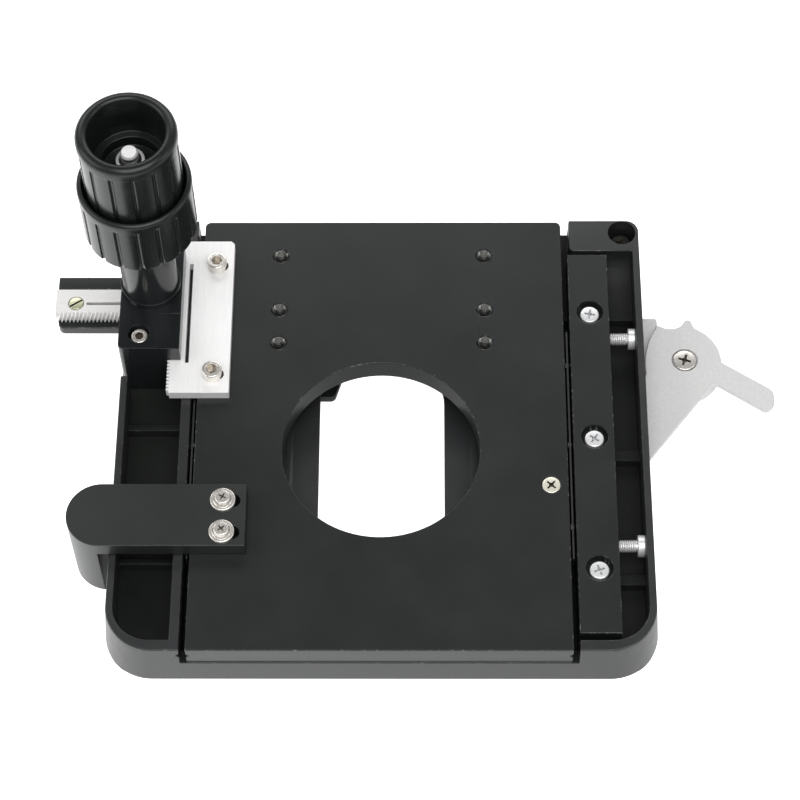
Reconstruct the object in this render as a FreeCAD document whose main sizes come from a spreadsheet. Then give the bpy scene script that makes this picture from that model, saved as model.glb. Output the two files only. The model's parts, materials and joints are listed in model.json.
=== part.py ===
# Mechanical microscope stage, lying on its working side, in millimetres.
# The origin is the centre of the light hole in the mounting face of the base plate.
# +Z points out of that face, +Y to the rear of the stage and +X away from the drive.
import FreeCAD, Part
import Sketcher
import math
import os
import re

Vector = FreeCAD.Vector
Rotation = FreeCAD.Rotation
Placement = FreeCAD.Placement

SIZES = [
    # base plate
    ("plate_width", 84.6, "base plate, across"),
    ("plate_front", -50.2, "base plate, front edge"),
    ("plate_rear", 61.6, "base plate, rear edge"),
    ("plate_thick", 6.0, "base plate, thickness"),
    ("plate_corner", 1.3, "base plate, corner radius"),
    ("light_hole", 22.5, "light hole, radius"),
    ("hole_columns", 48.0, "mounting holes, distance across"),
    ("hole_rear_row", 52.0, "mounting holes, rear row"),
    ("hole_wide_pitch", 15.0, "mounting holes, rear to middle row"),
    ("hole_close_pitch", 9.0, "mounting holes, middle to front row"),
    ("mount_hole", 1.65, "mounting hole, radius under the thread"),
    # ball guides of the front-to-rear slide
    ("guide_gap", 1.4, "gap between the plate and its guides"),
    ("guide_depth", 3.0, "ball centres below the mounting face"),
    ("ball", 1.0, "guide ball, radius"),
    ("ball_play", 0.02, "play of a ball in its grooves"),
    ("ball_pitch", 21.0, "distance between guide balls"),
    ("cage_thick", 0.4, "ball cage, thickness"),
    ("cage_tall", 3.2, "ball cage, height"),
    ("cage_long", 59.0, "ball cage, length"),
    ("cage_middle", 2.2, "ball cages, centre along Y"),
    # casting
    ("cast_left", -61.4, "casting, left edge at its foot"),
    ("cast_right", 62.0, "casting, right edge at its foot"),
    ("cast_front", -51.1, "casting, front edge at its foot"),
    ("cast_rear", 63.5, "casting, rear edge at its foot"),
    ("cast_top", -0.5, "casting, height of the rim"),
    ("cast_foot", -13.4, "casting, working surface of the stage"),
    ("cast_draft", 5.0, "casting, draft angle in degrees"),
    ("cast_corner", 11.0, "casting, front corner radius"),
    ("rear_corner", 2.9, "casting, rear corner radius"),
    ("wall_left", -58.6, "casting, inner face of the left wall"),
    ("wall_right", 59.2, "casting, inner face of the right wall"),
    ("front_wall", -47.3, "casting, inner face of the front wall"),
    ("front_sill", -6.15, "casting, front wall under the plate"),
    ("floor_low", -10.4, "casting, main floor"),
    ("floor_high", -7.5, "casting, floor over the cross guide"),
    ("floor_step", 38.6, "casting, step between the two floors"),
    ("seat_front", 33.8, "casting, front of the pad under the drive housing"),
    ("rail_out", -46.0, "left guide rail, outer face"),
    ("gib_out", 53.1, "gib strip, outer face"),
    ("gib_foot", -7.15, "gib strip, underside"),
    ("gib_front", -45.8, "gib strip, front end"),
    ("gib_rear", 52.7, "gib strip, rear end"),
    ("block_front", 53.7, "corner blocks, front face"),
    ("block_left", -43.9, "left corner block, inner face"),
    ("block_right", 44.3, "right corner block, inner face"),
    ("seat_deep", 0.15, "milled seats of the rack and the arm, depth"),
    ("slot_half", 14.5, "light slot, half width"),
    ("slot_reach", 28.0, "light slot, half length"),
    ("slot_corner", 9.0, "light slot, corner radius"),
    ("bay_half", 21.7, "shallow bay round the slot, half width"),
    ("bay_reach", 36.0, "shallow bay round the slot, half length"),
    ("bay_step", 0.4, "shallow bay, depth of each of its two steps"),
    ("bay_ledge", 1.2, "shallow bay, width of the ledge"),
    ("channel_front", 40.2, "cross channel, front side"),
    ("channel_roof", -9.7, "cross channel, roof"),
    # rack drives
    ("axis_left", -53.4, "drive axis along X"),
    ("axis_back", 39.0, "drive axis along Y"),
    ("gear_module", 0.3, "module of racks and pinions"),
    ("tooth_play", 0.06, "play between teeth, along the pitch line"),
    ("helix_angle", 15.0, "slant of the cross rack teeth in degrees"),
    ("long_teeth", 29, "teeth of the pinion that drives along Y"),
    ("cross_teeth", 22, "teeth of the pinion that drives along X"),
    ("tube_shaft", 3.5, "outer shaft, radius"),
    ("core_shaft", 2.0, "inner shaft, radius"),
    ("shaft_play", 0.03, "play of a shaft in its bore"),
    # drive housing
    ("house_left", -60.3, "housing, outer face"),
    ("house_inner", -49.6, "housing, inner face below the rack"),
    ("house_right", -46.2, "housing, inner face above the rack"),
    ("house_front", 21.6, "housing, front face"),
    ("house_rear", 50.0, "housing, rear face"),
    ("house_top", 8.0, "housing, top face"),
    ("boss", 6.4, "housing, radius of the tube"),
    ("boss_top", 31.5, "housing, top of the tube"),
    # knobs
    ("big_foot", 33.0, "large knob, lower end"),
    ("big_rim", 50.0, "large knob, upper end"),
    ("big_radius", 12.7, "large knob, radius"),
    ("big_cup", 11.4, "large knob, radius inside the rim"),
    ("small_foot", 44.2, "small knob, lower end"),
    ("small_rim", 68.0, "small knob, upper end"),
    ("small_radius", 11.0, "small knob, radius"),
    ("small_cup", 8.3, "small knob, radius inside the rim"),
    # cross slide
    ("bar_left", -77.9, "carriage bar, left end"),
    ("bar_right", 58.0, "carriage bar, right end"),
    ("bar_front", 40.5, "carriage bar, front face"),
    ("bar_rear", 52.5, "carriage bar, rear face"),
    ("bar_foot", -16.6, "carriage bar, underside"),
    ("bar_ledge", -13.8, "carriage bar, seat of the rack"),
    ("bar_top", -10.0, "carriage bar, top of the ridge"),
    ("bar_ridge", 49.05, "carriage bar, front of the ridge"),
    ("dovetail_mid", -13.3, "dovetail guide, middle height"),
    ("rail_foot", -16.2, "cross guide rail, underside"),
    ("rail_half", 60.0, "cross guide rail, half length"),
    # slide holder
    ("pivot_right", 71.7, "finger pivot along X"),
    ("pivot_back", 31.6, "finger pivot along Y"),
    ("finger_top", -13.9, "spring finger, upper face"),
    ("finger_thick", 1.5, "spring finger, thickness"),
    ("finger_boss", 2.4, "spring finger, thickness at its pivot"),
    ("hub_radius", 8.9, "finger bracket, radius round the pivot"),
    ("jaw_thick", 2.1, "fixed jaw, thickness"),
    # arm beside the stage
    ("arm_thick", 4.0, "index arm, thickness"),
    ("arm_front", -26.8, "index arm, front edge"),
    ("arm_rear", -11.3, "index arm, rear edge"),
    ("arm_right", -29.8, "index arm, right end"),
    ("arm_left", -69.8, "index arm, left end"),
    ("arm_post", -62.6, "index arm, inner face of the post"),
    ("arm_foot", -18.3, "index arm, lower end of the post"),
    ("rack_back", -34.9, "Y rack, edge away from its teeth"),
    ("rack_front", 13.1, "Y rack, front end"),
    ("rack_rear", 54.5, "Y rack, rear end"),
    ("rack_top", 2.5, "Y rack, upper face"),
]
ALIASES = {alias for alias, _, _ in SIZES}

doc = FreeCAD.newDocument("mechanical_stage")
sheet = doc.addObject("Spreadsheet::Sheet", "Sizes")
for row, (alias, amount, note) in enumerate(SIZES, start=1):
    sheet.set(f"A{row}", note)
    sheet.set(f"B{row}", str(amount))
    sheet.setAlias(f"B{row}", alias)
doc.recompute()

nodes = []


# ---------------------------------------------------------------- helpers
def linked(term):
    """The same term, with every alias read from the sheet."""
    return re.sub(r"[a-z_]+", lambda word: f"Sizes.{word[0]}" if word[0] in ALIASES else word[0], str(term))


def number(term):
    """A term's value now."""
    return float(sheet.evalExpression(term)) if isinstance(term, str) else float(term)


def bind(thing, prop, term):
    """Ties a property to a term of the sheet, or sets a plain number."""
    if isinstance(term, str):
        thing.setExpression(prop, linked(term))
    else:
        owner, _, last = prop.rpartition(".")
        if owner:
            thing.setExpression(prop, str(term))
        else:
            setattr(thing, last, term)


def body(label, at=(0, 0, 0)):
    """A new body that is one sub-part, placed at a point."""
    piece = doc.addObject("PartDesign::Body", label)
    piece.Label = label
    for axis, term in zip("xyz", at):
        if term != 0:
            bind(piece, f"Placement.Base.{axis}", term)
    nodes.append(piece)
    return piece


def sketch(piece, role, height=0):
    """A sketch on one of the body's own origin planes, shifted along its normal."""
    drawing = piece.newObject("Sketcher::SketchObject", "Sketch")
    plane = next(face for face in piece.Origin.OriginFeatures if face.Role == role)
    drawing.AttachmentSupport = [(plane, "")]
    drawing.MapMode = "FlatFace"
    bind(drawing, "AttachmentOffset.Base.z", height)
    return drawing


def fix(drawing, kind, line, point, term):
    """Holds a coordinate of a point of a sketch at a term."""
    value = number(term)
    if abs(value) < 1e-9:
        axis = -2 if kind == "DistanceX" else -1
        drawing.addConstraint(Sketcher.Constraint("PointOnObject", line, point, axis))
        return
    index = drawing.addConstraint(Sketcher.Constraint(kind, -1, 1, line, point, value))
    if isinstance(term, str):
        drawing.setExpression(f"Constraints[{index}]", linked(term))


def polygon(drawing, corners):
    """A closed outline of straight lines through corners given as terms."""
    start = drawing.GeometryCount
    points = [Vector(number(x), number(y), 0) for x, y in corners]
    count = len(points)
    for index in range(count):
        drawing.addGeometry(Part.LineSegment(points[index], points[(index + 1) % count]))
    for index, (x, y) in enumerate(corners):
        here, after = start + index, start + (index + 1) % count
        drawing.addConstraint(Sketcher.Constraint("Coincident", here, 2, after, 1))
        fix(drawing, "DistanceX", here, 1, x)
        fix(drawing, "DistanceY", here, 1, y)


def rectangle(drawing, left, right, low, high):
    polygon(drawing, [(left, low), (right, low), (right, high), (left, high)])


def circle(drawing, x, y, radius):
    """A circle whose centre and radius are terms."""
    center = Vector(number(x), number(y), 0)
    index = drawing.addGeometry(Part.Circle(center, Vector(0, 0, 1), number(radius)))
    limit = drawing.addConstraint(Sketcher.Constraint("Radius", index, number(radius)))
    if isinstance(radius, str):
        drawing.setExpression(f"Constraints[{limit}]", linked(radius))
    fix(drawing, "DistanceX", index, 3, x)
    fix(drawing, "DistanceY", index, 3, y)


def oblong(drawing, left, right, y, radius):
    """A slot along X between two end centres."""
    x0, x1, mid, r = number(left), number(right), number(y), number(radius)
    ends = [(x0, math.pi / 2, 3 * math.pi / 2), (x1, -math.pi / 2, math.pi / 2)]
    start = drawing.GeometryCount
    for x, turn_from, turn_to in ends:
        ring = Part.Circle(Vector(x, mid, 0), Vector(0, 0, 1), r)
        drawing.addGeometry(Part.ArcOfCircle(ring, turn_from, turn_to))
    drawing.addGeometry(Part.LineSegment(Vector(x0, mid - r, 0), Vector(x1, mid - r, 0)))
    drawing.addGeometry(Part.LineSegment(Vector(x1, mid + r, 0), Vector(x0, mid + r, 0)))
    for a, a_end, b, b_end in ((0, 2, 2, 1), (2, 2, 1, 1), (1, 2, 3, 1), (3, 2, 0, 1)):
        drawing.addConstraint(Sketcher.Constraint("Tangent", start + a, a_end, start + b, b_end))
    fix(drawing, "DistanceX", start, 3, left)
    fix(drawing, "DistanceY", start, 3, y)
    fix(drawing, "DistanceX", start + 1, 3, right)
    drawing.addConstraint(Sketcher.Constraint("Radius", start, r))


def curve_outline(drawing, steps):
    """A closed outline of fixed points: a step is an end point, or a point on an arc and its end."""
    here = Vector(*steps[-1][-1], 0)
    for step in steps:
        end = Vector(*step[-1], 0)
        if len(step) == 1:
            edge = drawing.addGeometry(Part.LineSegment(here, end))
        else:
            edge = drawing.addGeometry(Part.Arc(here, Vector(*step[0], 0), end))
        drawing.addConstraint(Sketcher.Constraint("Block", edge))
        here = end


def pad(piece, drawing, length, draft=None):
    """Raises the sketch along its plane's normal."""
    step = piece.newObject("PartDesign::Pad", "Pad")
    step.Profile = drawing
    bind(step, "Length", length)
    if draft:
        step.setExpression("TaperAngle", f"-{linked(draft)}")
    drawing.Visibility = False
    return step


def cut(piece, drawing, depth=None, upward=False):
    """Cuts the sketch down into the solid, through it both ways when no depth is given."""
    step = piece.newObject("PartDesign::Pocket", "Pocket")
    step.Profile = drawing
    if depth is None:
        step.Type = "ThroughAll"
        step.Midplane = True
    else:
        bind(step, "Length", depth)
        step.Reversed = upward
    drawing.Visibility = False
    return step


def bay(piece, left, right, low, high, floor, top="cast_top + 1"):
    """A rectangular pocket from above, down to a floor."""
    drawing = sketch(piece, "XY_Plane", top)
    rectangle(drawing, left, right, low, high)
    return cut(piece, drawing, f"{top} - ({floor})")


def bore(piece, x, y, radius, top, foot):
    """A round hole between two heights."""
    drawing = sketch(piece, "XY_Plane", top)
    circle(drawing, x, y, radius)
    return cut(piece, drawing, f"{top} - ({foot})")


def turned(piece, profile):
    """Revolves a profile of radius and height about the body's Z axis."""
    drawing = sketch(piece, "XZ_Plane")
    polygon(drawing, profile)
    step = piece.newObject("PartDesign::Revolution", "Revolution")
    step.Profile = drawing
    step.ReferenceAxis = (drawing, ["V_Axis"])
    step.Angle = 360
    drawing.Visibility = False
    return step


def upright_edges(piece, spots, reach=1.0):
    """Names of the steep edges whose middles lie near the given X, Y spots."""
    doc.recompute()
    names = []
    for index, edge in enumerate(piece.Tip.Shape.Edges, start=1):
        box = edge.BoundBox
        steep = box.ZLength > 4 * max(box.XLength, box.YLength)
        middle = box.Center
        near = any(abs(middle.x - x) < reach and abs(middle.y - y) < reach for x, y in spots)
        if steep and near:
            names.append(f"Edge{index}")
    return names


def round_edges(piece, spots, radius, reach=1.0):
    """Rounds upright edges."""
    names = upright_edges(piece, spots, reach)
    base = piece.Tip
    step = piece.newObject("PartDesign::Fillet", "Fillet")
    step.Base = (base, names)
    bind(step, "Radius", radius)
    return step


def pattern(piece, kind, step, axis, count, **size):
    """Repeats a feature of the body along or about one of its axes."""
    again = piece.newObject(f"PartDesign::{kind}", kind)
    again.Originals = [step]
    line = next(item for item in piece.Origin.OriginFeatures if item.Role == axis)
    setattr(again, "Direction" if kind == "LinearPattern" else "Axis", (line, [""]))
    for name, value in size.items():
        bind(again, name, value)
    again.Occurrences = count
    piece.Tip = again
    return again


def simple(kind, label, **sizes):
    """A primitive of the Part workbench; x, y and z place it."""
    thing = doc.addObject(f"Part::{kind}", label)
    for name, term in sizes.items():
        prop = f"Placement.Base.{name}" if name in ("x", "y", "z") else name
        bind(thing, prop, term)
    return thing


def joined(label, *shapes):
    thing = doc.addObject("Part::MultiFuse", label)
    thing.Shapes = list(shapes)
    return thing


def less(label, base, tool):
    thing = doc.addObject("Part::Cut", label)
    thing.Base, thing.Tool = base, tool
    return thing


def group(label, master, places):
    """Separate copies of one fastener, each at a place of its own."""
    links = []
    for index, place in enumerate(places, start=1):
        link = doc.addObject("App::Link", f"{label}_{index}")
        link.LinkedObject = master
        for axis, term in zip("xyz", place):
            bind(link, f"Placement.Base.{axis}", term)
        links.append(link)
    thing = doc.addObject("Part::Compound", label)
    thing.Label = label
    thing.Links = links
    nodes.append(thing)
    return thing


def screw(label, head, rise, shank, length):
    """A screw that points down from the origin, which is under its head."""
    top = simple("Cylinder", f"{label}_head", Radius=head, Height=rise)
    shaft = simple("Cylinder", f"{label}_shank", Radius=shank, Height=length, z=-length)
    return joined(label, top, shaft)


def aimed(fasteners, axis, angle):
    """Turns each copy of a fastener about its own origin."""
    for link in fasteners.Links:
        link.Placement = Placement(link.Placement.Base, Rotation(axis, angle))


# ---------------------------------------------------------------- base plate
def ball_groove(piece, face, away):
    """A right-angled groove along Y; away is +1 where the solid lies towards +X."""
    deep = "(ball * sqrt(2) - guide_gap / 2 + ball_play)"
    drawing = sketch(piece, "XZ_Plane")
    polygon(drawing, [
        (f"{face} - ({away}) * 0.5", f"-guide_depth - {deep} - 0.5"),
        (f"{face} + ({away}) * {deep}", "-guide_depth"),
        (f"{face} - ({away}) * 0.5", f"-guide_depth + {deep} + 0.5"),
    ])
    cut(piece, drawing)


def base_plate():
    plate = body("base_plate")
    outline = sketch(plate, "XY_Plane", "-plate_thick")
    rectangle(outline, "-plate_width / 2", "plate_width / 2", "plate_front", "plate_rear")
    pad(plate, outline, "plate_thick")
    corners = [(side * number("plate_width / 2"), number("plate_rear")) for side in (-1, 1)]
    round_edges(plate, corners, "plate_corner")
    bore(plate, 0, 0, "light_hole", "plate_thick / 6", "-plate_thick - 1")
    rows = ["hole_rear_row", "hole_rear_row - hole_wide_pitch",
            "hole_rear_row - hole_wide_pitch - hole_close_pitch"]
    holes = sketch(plate, "XY_Plane", 1)
    for row in rows:
        circle(holes, "-hole_columns / 2", row, "mount_hole")
        circle(holes, "hole_columns / 2", row, "mount_hole")
    cut(plate, holes, "plate_thick + 2")
    taps = sketch(plate, "XY_Plane", 1)
    for x, y in RACK_SCREWS:
        circle(taps, x, y, 1.25)
    for x, y in ARM_SCREWS:
        circle(taps, x, y, 1.5)
    circle(taps, *STOP_SCREW, 1.25)
    cut(plate, taps, "plate_thick")
    for name, inner in (("rack", "rack_back"), ("arm", "arm_right")):
        bay(plate, "-plate_width / 2 - 1", f"{inner} + 0.1", f"{name}_front - 0.1", f"{name}_rear + 0.1",
            "-seat_deep", top="1")
    bore(plate, *STOP_SCREW, 2.1, 1, STOP_SEAT)
    ball_groove(plate, "-plate_width / 2", 1)
    ball_groove(plate, "plate_width / 2", -1)


RACK_SCREWS = [(-38.8, 47.6), (-38.8, 18.0)]
ARM_SCREWS = [(-35.0, -15.5), (-35.0, -23.4)]
STOP_SCREW = (38.4, -9.4)
STOP_SEAT = -1.1


# ---------------------------------------------------------------- casting
GIB_SCREWS = [(48.6, 36.6), (48.6, 3.3), (48.6, -30.0)]
GIB_SEAT = -3.0
JACK_ROWS = [31.5, -22.7]
JACK_HEIGHT = -4.4
HOUSING_SCREWS = [(-55.6, 25.6, 5.0), (-56.4, 47.3, 7.7)]
RAIL_ENDS = [(56.9, 58.9), (-56.9, 58.9)]
RAIL_SCREWS = [(-22.0, 58.0), (22.0, 58.0)]
BLOCK_NOSE = [[(45.5, 53.2)], [(45.5, 53.7)], [(44.65, 54.05), (44.3, 54.9)], [(43.8, 54.9)], [(43.8, 53.2)]]


def stage_casting():
    cast = body("stage_casting")
    outline = sketch(cast, "XY_Plane", "cast_foot")
    rectangle(outline, "cast_left", "cast_right", "cast_front", "cast_rear")
    pad(cast, outline, "cast_top - cast_foot", draft="cast_draft")
    inner = "(plate_width / 2 + guide_gap)"
    bay(cast, f"-{inner}", inner, "cast_front - 2", "cast_rear + 2", "front_sill")
    bay(cast, f"-{inner}", inner, "front_wall", "cast_rear + 2", "floor_high")
    bay(cast, f"-{inner}", inner, "front_wall", "floor_step", "floor_low")
    bay(cast, "block_left", "block_right", "block_front", "cast_rear + 2", "floor_high")
    bay(cast, f"{inner} - 1", "gib_out + 0.2", "gib_front - 0.3", "block_front", "gib_foot")
    bay(cast, f"{inner} - 1", "gib_out + 0.2", "front_wall", "gib_front - 0.3", "floor_low")

    pocket_bays(cast, "gib_out + 0.1", "wall_right", "floor_step", [(-29.4, 1.4), (2.2, 1.4)])
    pocket_bays(cast, "wall_left", "rail_out", "seat_front", [(-24.9, 0.8), (9.6, 0.9)])
    spots = [(number(wall), number("front_wall")) for wall in ("wall_left", "wall_right")]
    round_edges(cast, spots, "cast_corner - 2.8", reach=0.4)
    sides = number("cast_left"), number("cast_right")
    round_edges(cast, [(side, number("cast_front")) for side in sides], "cast_corner")
    round_edges(cast, [(side, number("cast_rear")) for side in sides], "rear_corner")
    nose = sketch(cast, "XY_Plane", "cast_top + 1")
    curve_outline(nose, BLOCK_NOSE)
    cut(cast, nose, "cast_top + 1 - gib_foot")

    bay(cast, "cast_left - 2", "wall_left + 0.2", "house_front - 2.2", "seat_front", "floor_low")
    bay(cast, "cast_left - 2", "wall_left + 0.2", "seat_front - 1", "house_rear + 0.3", "floor_high")
    light_slot(cast)
    cross_channel(cast)
    ball_groove(cast, "-plate_width / 2 - guide_gap", -1)
    casting_holes(cast)


def pocket_bays(cast, left, right, step, ribs):
    """A side pocket with a high floor behind the step and low bays between ribs in front."""
    bay(cast, left, right, "front_wall", "block_front", "floor_high")
    start = "front_wall"
    for middle, half in ribs:
        bay(cast, left, right, start, middle - half, "floor_low")
        start = middle + half
    bay(cast, left, right, start, step, "floor_low")


def light_slot(cast):
    """The oblong hole under the specimen and the shallow bay round it."""
    for step, ledge in ((1, 0), (2, "bay_ledge")):
        bay(cast, f"-bay_half + {ledge}", f"bay_half - {ledge}", f"-bay_reach + {ledge}",
            f"bay_reach - {ledge}", f"floor_low - {step} * bay_step")
    bay(cast, "-slot_half", "slot_half", "-slot_reach", "slot_reach", "cast_foot - 1")
    width, reach = number("slot_half"), number("slot_reach")
    corners = [(x * width, y * reach) for x in (-1, 1) for y in (-1, 1)]
    round_edges(cast, corners, "slot_corner", reach=0.2)


def cross_channel(cast):
    """The channel of the cross slide, with the room for its pinion."""
    channel = sketch(cast, "YZ_Plane")
    rectangle(channel, "channel_front", "cast_rear + 3", "cast_foot - 3", "channel_roof")
    cut(cast, channel)
    bore(cast, "axis_left", "axis_back", 4.8, "channel_roof", "cast_foot - 1")
    bore(cast, "axis_left", "axis_back", "core_shaft + 0.4", "floor_high + 1", "cast_foot - 1")


def casting_holes(cast):
    for x, y in GIB_SCREWS:
        bore(cast, x, y, 1.2, "gib_foot + 1", -12.4)
    for x, y, _ in HOUSING_SCREWS:
        bore(cast, x, y, 0.95, "floor_high + 1", -12.6)
    for x, y in RAIL_ENDS:
        bore(cast, x, y, 1.6, "cast_top + 1", "channel_roof - 1")
        bore(cast, x, y, 3.25, "cast_top + 1", -7.0)
    for x, y in RAIL_SCREWS:
        bore(cast, x, y, 1.25, "floor_high + 1", "channel_roof - 1")


def gib_strip():
    gib = body("gib_strip")
    face = "plate_width / 2 + guide_gap"
    outline = sketch(gib, "XY_Plane", "gib_foot")
    rectangle(outline, face, "gib_out", "gib_front", "gib_rear")
    pad(gib, outline, "cast_top - gib_foot")
    ball_groove(gib, face, 1)
    for x, y in GIB_SCREWS:
        bore(gib, x, y, 1.6, "cast_top + 1", "gib_foot - 1")
        bore(gib, x, y, 3.1, "cast_top + 1", GIB_SEAT)
    jacks = sketch(gib, "YZ_Plane", "gib_out + 1")
    for row in JACK_ROWS:
        circle(jacks, row, JACK_HEIGHT, 1.5)
    cut(gib, jacks, 6.0)


def ball_guides():
    """A cage and its balls between the plate and each guide."""
    middle = "(plate_width / 2 + guide_gap / 2)"
    globe = simple("Sphere", "guide_ball", Radius="ball")
    for side, sign in (("left", -1), ("right", 1)):
        cage = body(f"ball_cage_{side}", (f"{sign} * {middle}", "cage_middle", "-guide_depth"))
        strip = sketch(cage, "YZ_Plane", "-cage_thick / 2")
        rectangle(strip, "-cage_long / 2", "cage_long / 2", "-cage_tall / 2", "cage_tall / 2")
        rows = [f"{step} * ball_pitch" for step in BALL_STEPS]
        for row in rows:
            circle(strip, row, 0, "ball + ball_play")
        pad(cage, strip, "cage_thick")
        group(f"guide_balls_{side}", globe,
              [(f"{sign} * {middle}", f"cage_middle + {row}", "-guide_depth") for row in rows])


BALL_STEPS = (-1, 0, 1)


# ---------------------------------------------------------------- racks and pinions
def tooth_line(count, offset):
    """Points of a rack's toothed edge about the middle of a gap: along the pitch line, and away from it."""
    module = number("gear_module")
    pitch = math.pi * module
    lean = math.tan(math.radians(20))
    half = pitch / 4 - number("tooth_play") / 4
    points = []
    for index in range(count):
        middle = (index + 0.5) * pitch + offset
        points += [(middle - half - 1.25 * module * lean, -1.25 * module),
                   (middle - half + module * lean, module),
                   (middle + half - module * lean, module),
                   (middle + half + 1.25 * module * lean, -1.25 * module)]
    return points


def pinion_points(teeth, turn):
    """Points of a pinion's outline, with a tooth whose middle points along the angle."""
    module = number("gear_module")
    pitch = module * teeth / 2
    base = pitch * math.cos(math.radians(20))
    half = (math.pi * module / 2 - number("tooth_play") / 2) / (2 * pitch)

    def spread(radius):
        angle = math.acos(min(1, base / radius))
        at_pitch = math.radians(20)
        return half + math.tan(at_pitch) - at_pitch - math.tan(angle) + angle

    radii = (pitch - 1.25 * module, pitch, pitch + module)
    points = []
    for index in range(teeth):
        middle = turn + 2 * math.pi * index / teeth
        flank = [(radius, spread(radius)) for radius in radii]
        for radius, angle in flank:
            points.append((radius, middle - angle))
        for radius, angle in reversed(flank):
            points.append((radius, middle + angle))
    return [Vector(radius * math.cos(angle), radius * math.sin(angle), 0) for radius, angle in points]


def plate_of(label, points, up, at):
    """A flat piece from an outline, raised by a vector."""
    piece = doc.addObject("Part::Feature", label)
    wire = Part.makePolygon(points + points[:1])
    piece.Shape = Part.Face(wire).extrude(up)
    piece.Placement = Placement(at, Rotation())
    return piece


def y_rack():
    """The springy rack on the plate, with its teeth towards the drive."""
    pitch_x = number("axis_left + gear_module * long_teeth / 2")
    axis_y = number("axis_back")
    back, front, rear = (number(term) for term in ("rack_back", "rack_front", "rack_rear"))
    foot, thick = number("-seat_deep"), number("rack_top + seat_deep")
    first = math.ceil((front + 0.4 - axis_y) / (math.pi * number("gear_module")) - 0.5)
    count = 36
    edge = [(pitch_x - away, axis_y + along)
            for along, away in tooth_line(count, first * math.pi * number("gear_module"))]
    root = pitch_x + 1.25 * number("gear_module")
    outline = [(back, front), (back, rear - 0.8), (back - 0.8, rear), (-45.4, rear), (root, 48.0)]
    outline += list(reversed(edge)) + [(root, front)]
    blank = plate_of("y_rack_blank", [Vector(x, y, 0) for x, y in outline], Vector(0, 0, thick),
                     Vector(0, 0, foot))
    slit = simple("Box", "y_rack_slit", Length=0.85, Width=27.0, Height=thick + 2,
                  x=-45.3, y=21.1, z=-1)
    slots = []
    for index, (x, y) in enumerate(RACK_SCREWS):
        for shift in (-0.8, 1.2):
            slots.append(simple("Cylinder", f"y_rack_end_{index}", Radius=1.4, Height=thick + 2,
                                x=x + shift, y=y, z=-1))
        slots.append(simple("Box", f"y_rack_slot_{index}", Length=2.0, Width=2.8, Height=thick + 2,
                            x=x - 0.8, y=y - 1.4, z=-1))
    rack = less("y_rack", blank, joined("y_rack_holes", slit, *slots))
    nodes.append(rack)


def x_rack():
    """The slanted rack on the carriage bar, with its teeth towards the front."""
    top, foot = number("bar_top"), number("bar_ledge")
    lean = math.tan(math.radians(number("helix_angle")))
    pitch = math.pi * number("gear_module")
    pitch_y = number("axis_back + gear_module * cross_teeth / 2")
    left, right = number("bar_left") - 0.4, 12.0
    first = math.floor((left - 2 - number("axis_left")) / pitch)
    count = math.ceil((right - left + 4) / pitch)
    shift = (foot - CROSS_GEAR_MIDDLE) * lean
    edge = [(number("axis_left") + along + shift, pitch_y - away)
            for along, away in tooth_line(count, first * pitch)]
    back = number("bar_ridge") - 0.05
    outline = edge + [(edge[-1][0], back), (edge[0][0], back)]
    sheared = plate_of("x_rack_strip", [Vector(x, y, 0) for x, y in outline],
                       Vector((top - foot) * lean, 0, top - foot), Vector(0, 0, foot))
    ends = simple("Box", "x_rack_ends", Length=right - left, Width=20, Height=20, x=left, y=35, z=-20)
    blank = doc.addObject("Part::Common", "x_rack_blank")
    blank.Base, blank.Tool = sheared, ends
    slit = simple("Box", "x_rack_slit", Length=36, Width=0.75, Height=10, x=-70.9, y=44.65, z=-15)
    holes = [simple("Cylinder", f"x_rack_hole_{index}", Radius=1.3, Height=10, x=x, y=y, z=-15)
             for index, (x, y) in enumerate(CROSS_RACK_SCREWS)]
    seats = [simple("Cylinder", f"x_rack_seat_{index}", Radius=1.9, Height=10, x=x, y=y, z=-10.9)
             for index, (x, y) in enumerate(CROSS_RACK_SCREWS)]
    rack = less("x_rack", blank, joined("x_rack_holes", slit, *holes, *seats))
    nodes.append(rack)


CROSS_GEAR_MIDDLE = -11.7
CROSS_RACK_SCREWS = [(-73.4, 45.1), (-26.0, 45.8), (6.0, 45.8)]


def y_pinion_shaft():
    """The outer tube shaft, with the pinion that climbs the rack on the plate."""
    foot, top = -0.15, 2.7
    points = pinion_points(int(number("long_teeth")), 0.0)
    axis = Vector(number("axis_left"), number("axis_back"), 0)
    gear = plate_of("y_pinion", points, Vector(0, 0, top - foot), axis + Vector(0, 0, foot))
    tube = simple("Cylinder", "y_tube", Radius="tube_shaft", Height=43.0 - top,
                  x="axis_left", y="axis_back", z=top)
    core = simple("Cylinder", "y_tube_bore", Radius="core_shaft + shaft_play", Height=60,
                  x="axis_left", y="axis_back", z=-5)
    nodes.append(less("y_pinion_shaft", joined("y_tube_solid", gear, tube), core))


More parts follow.
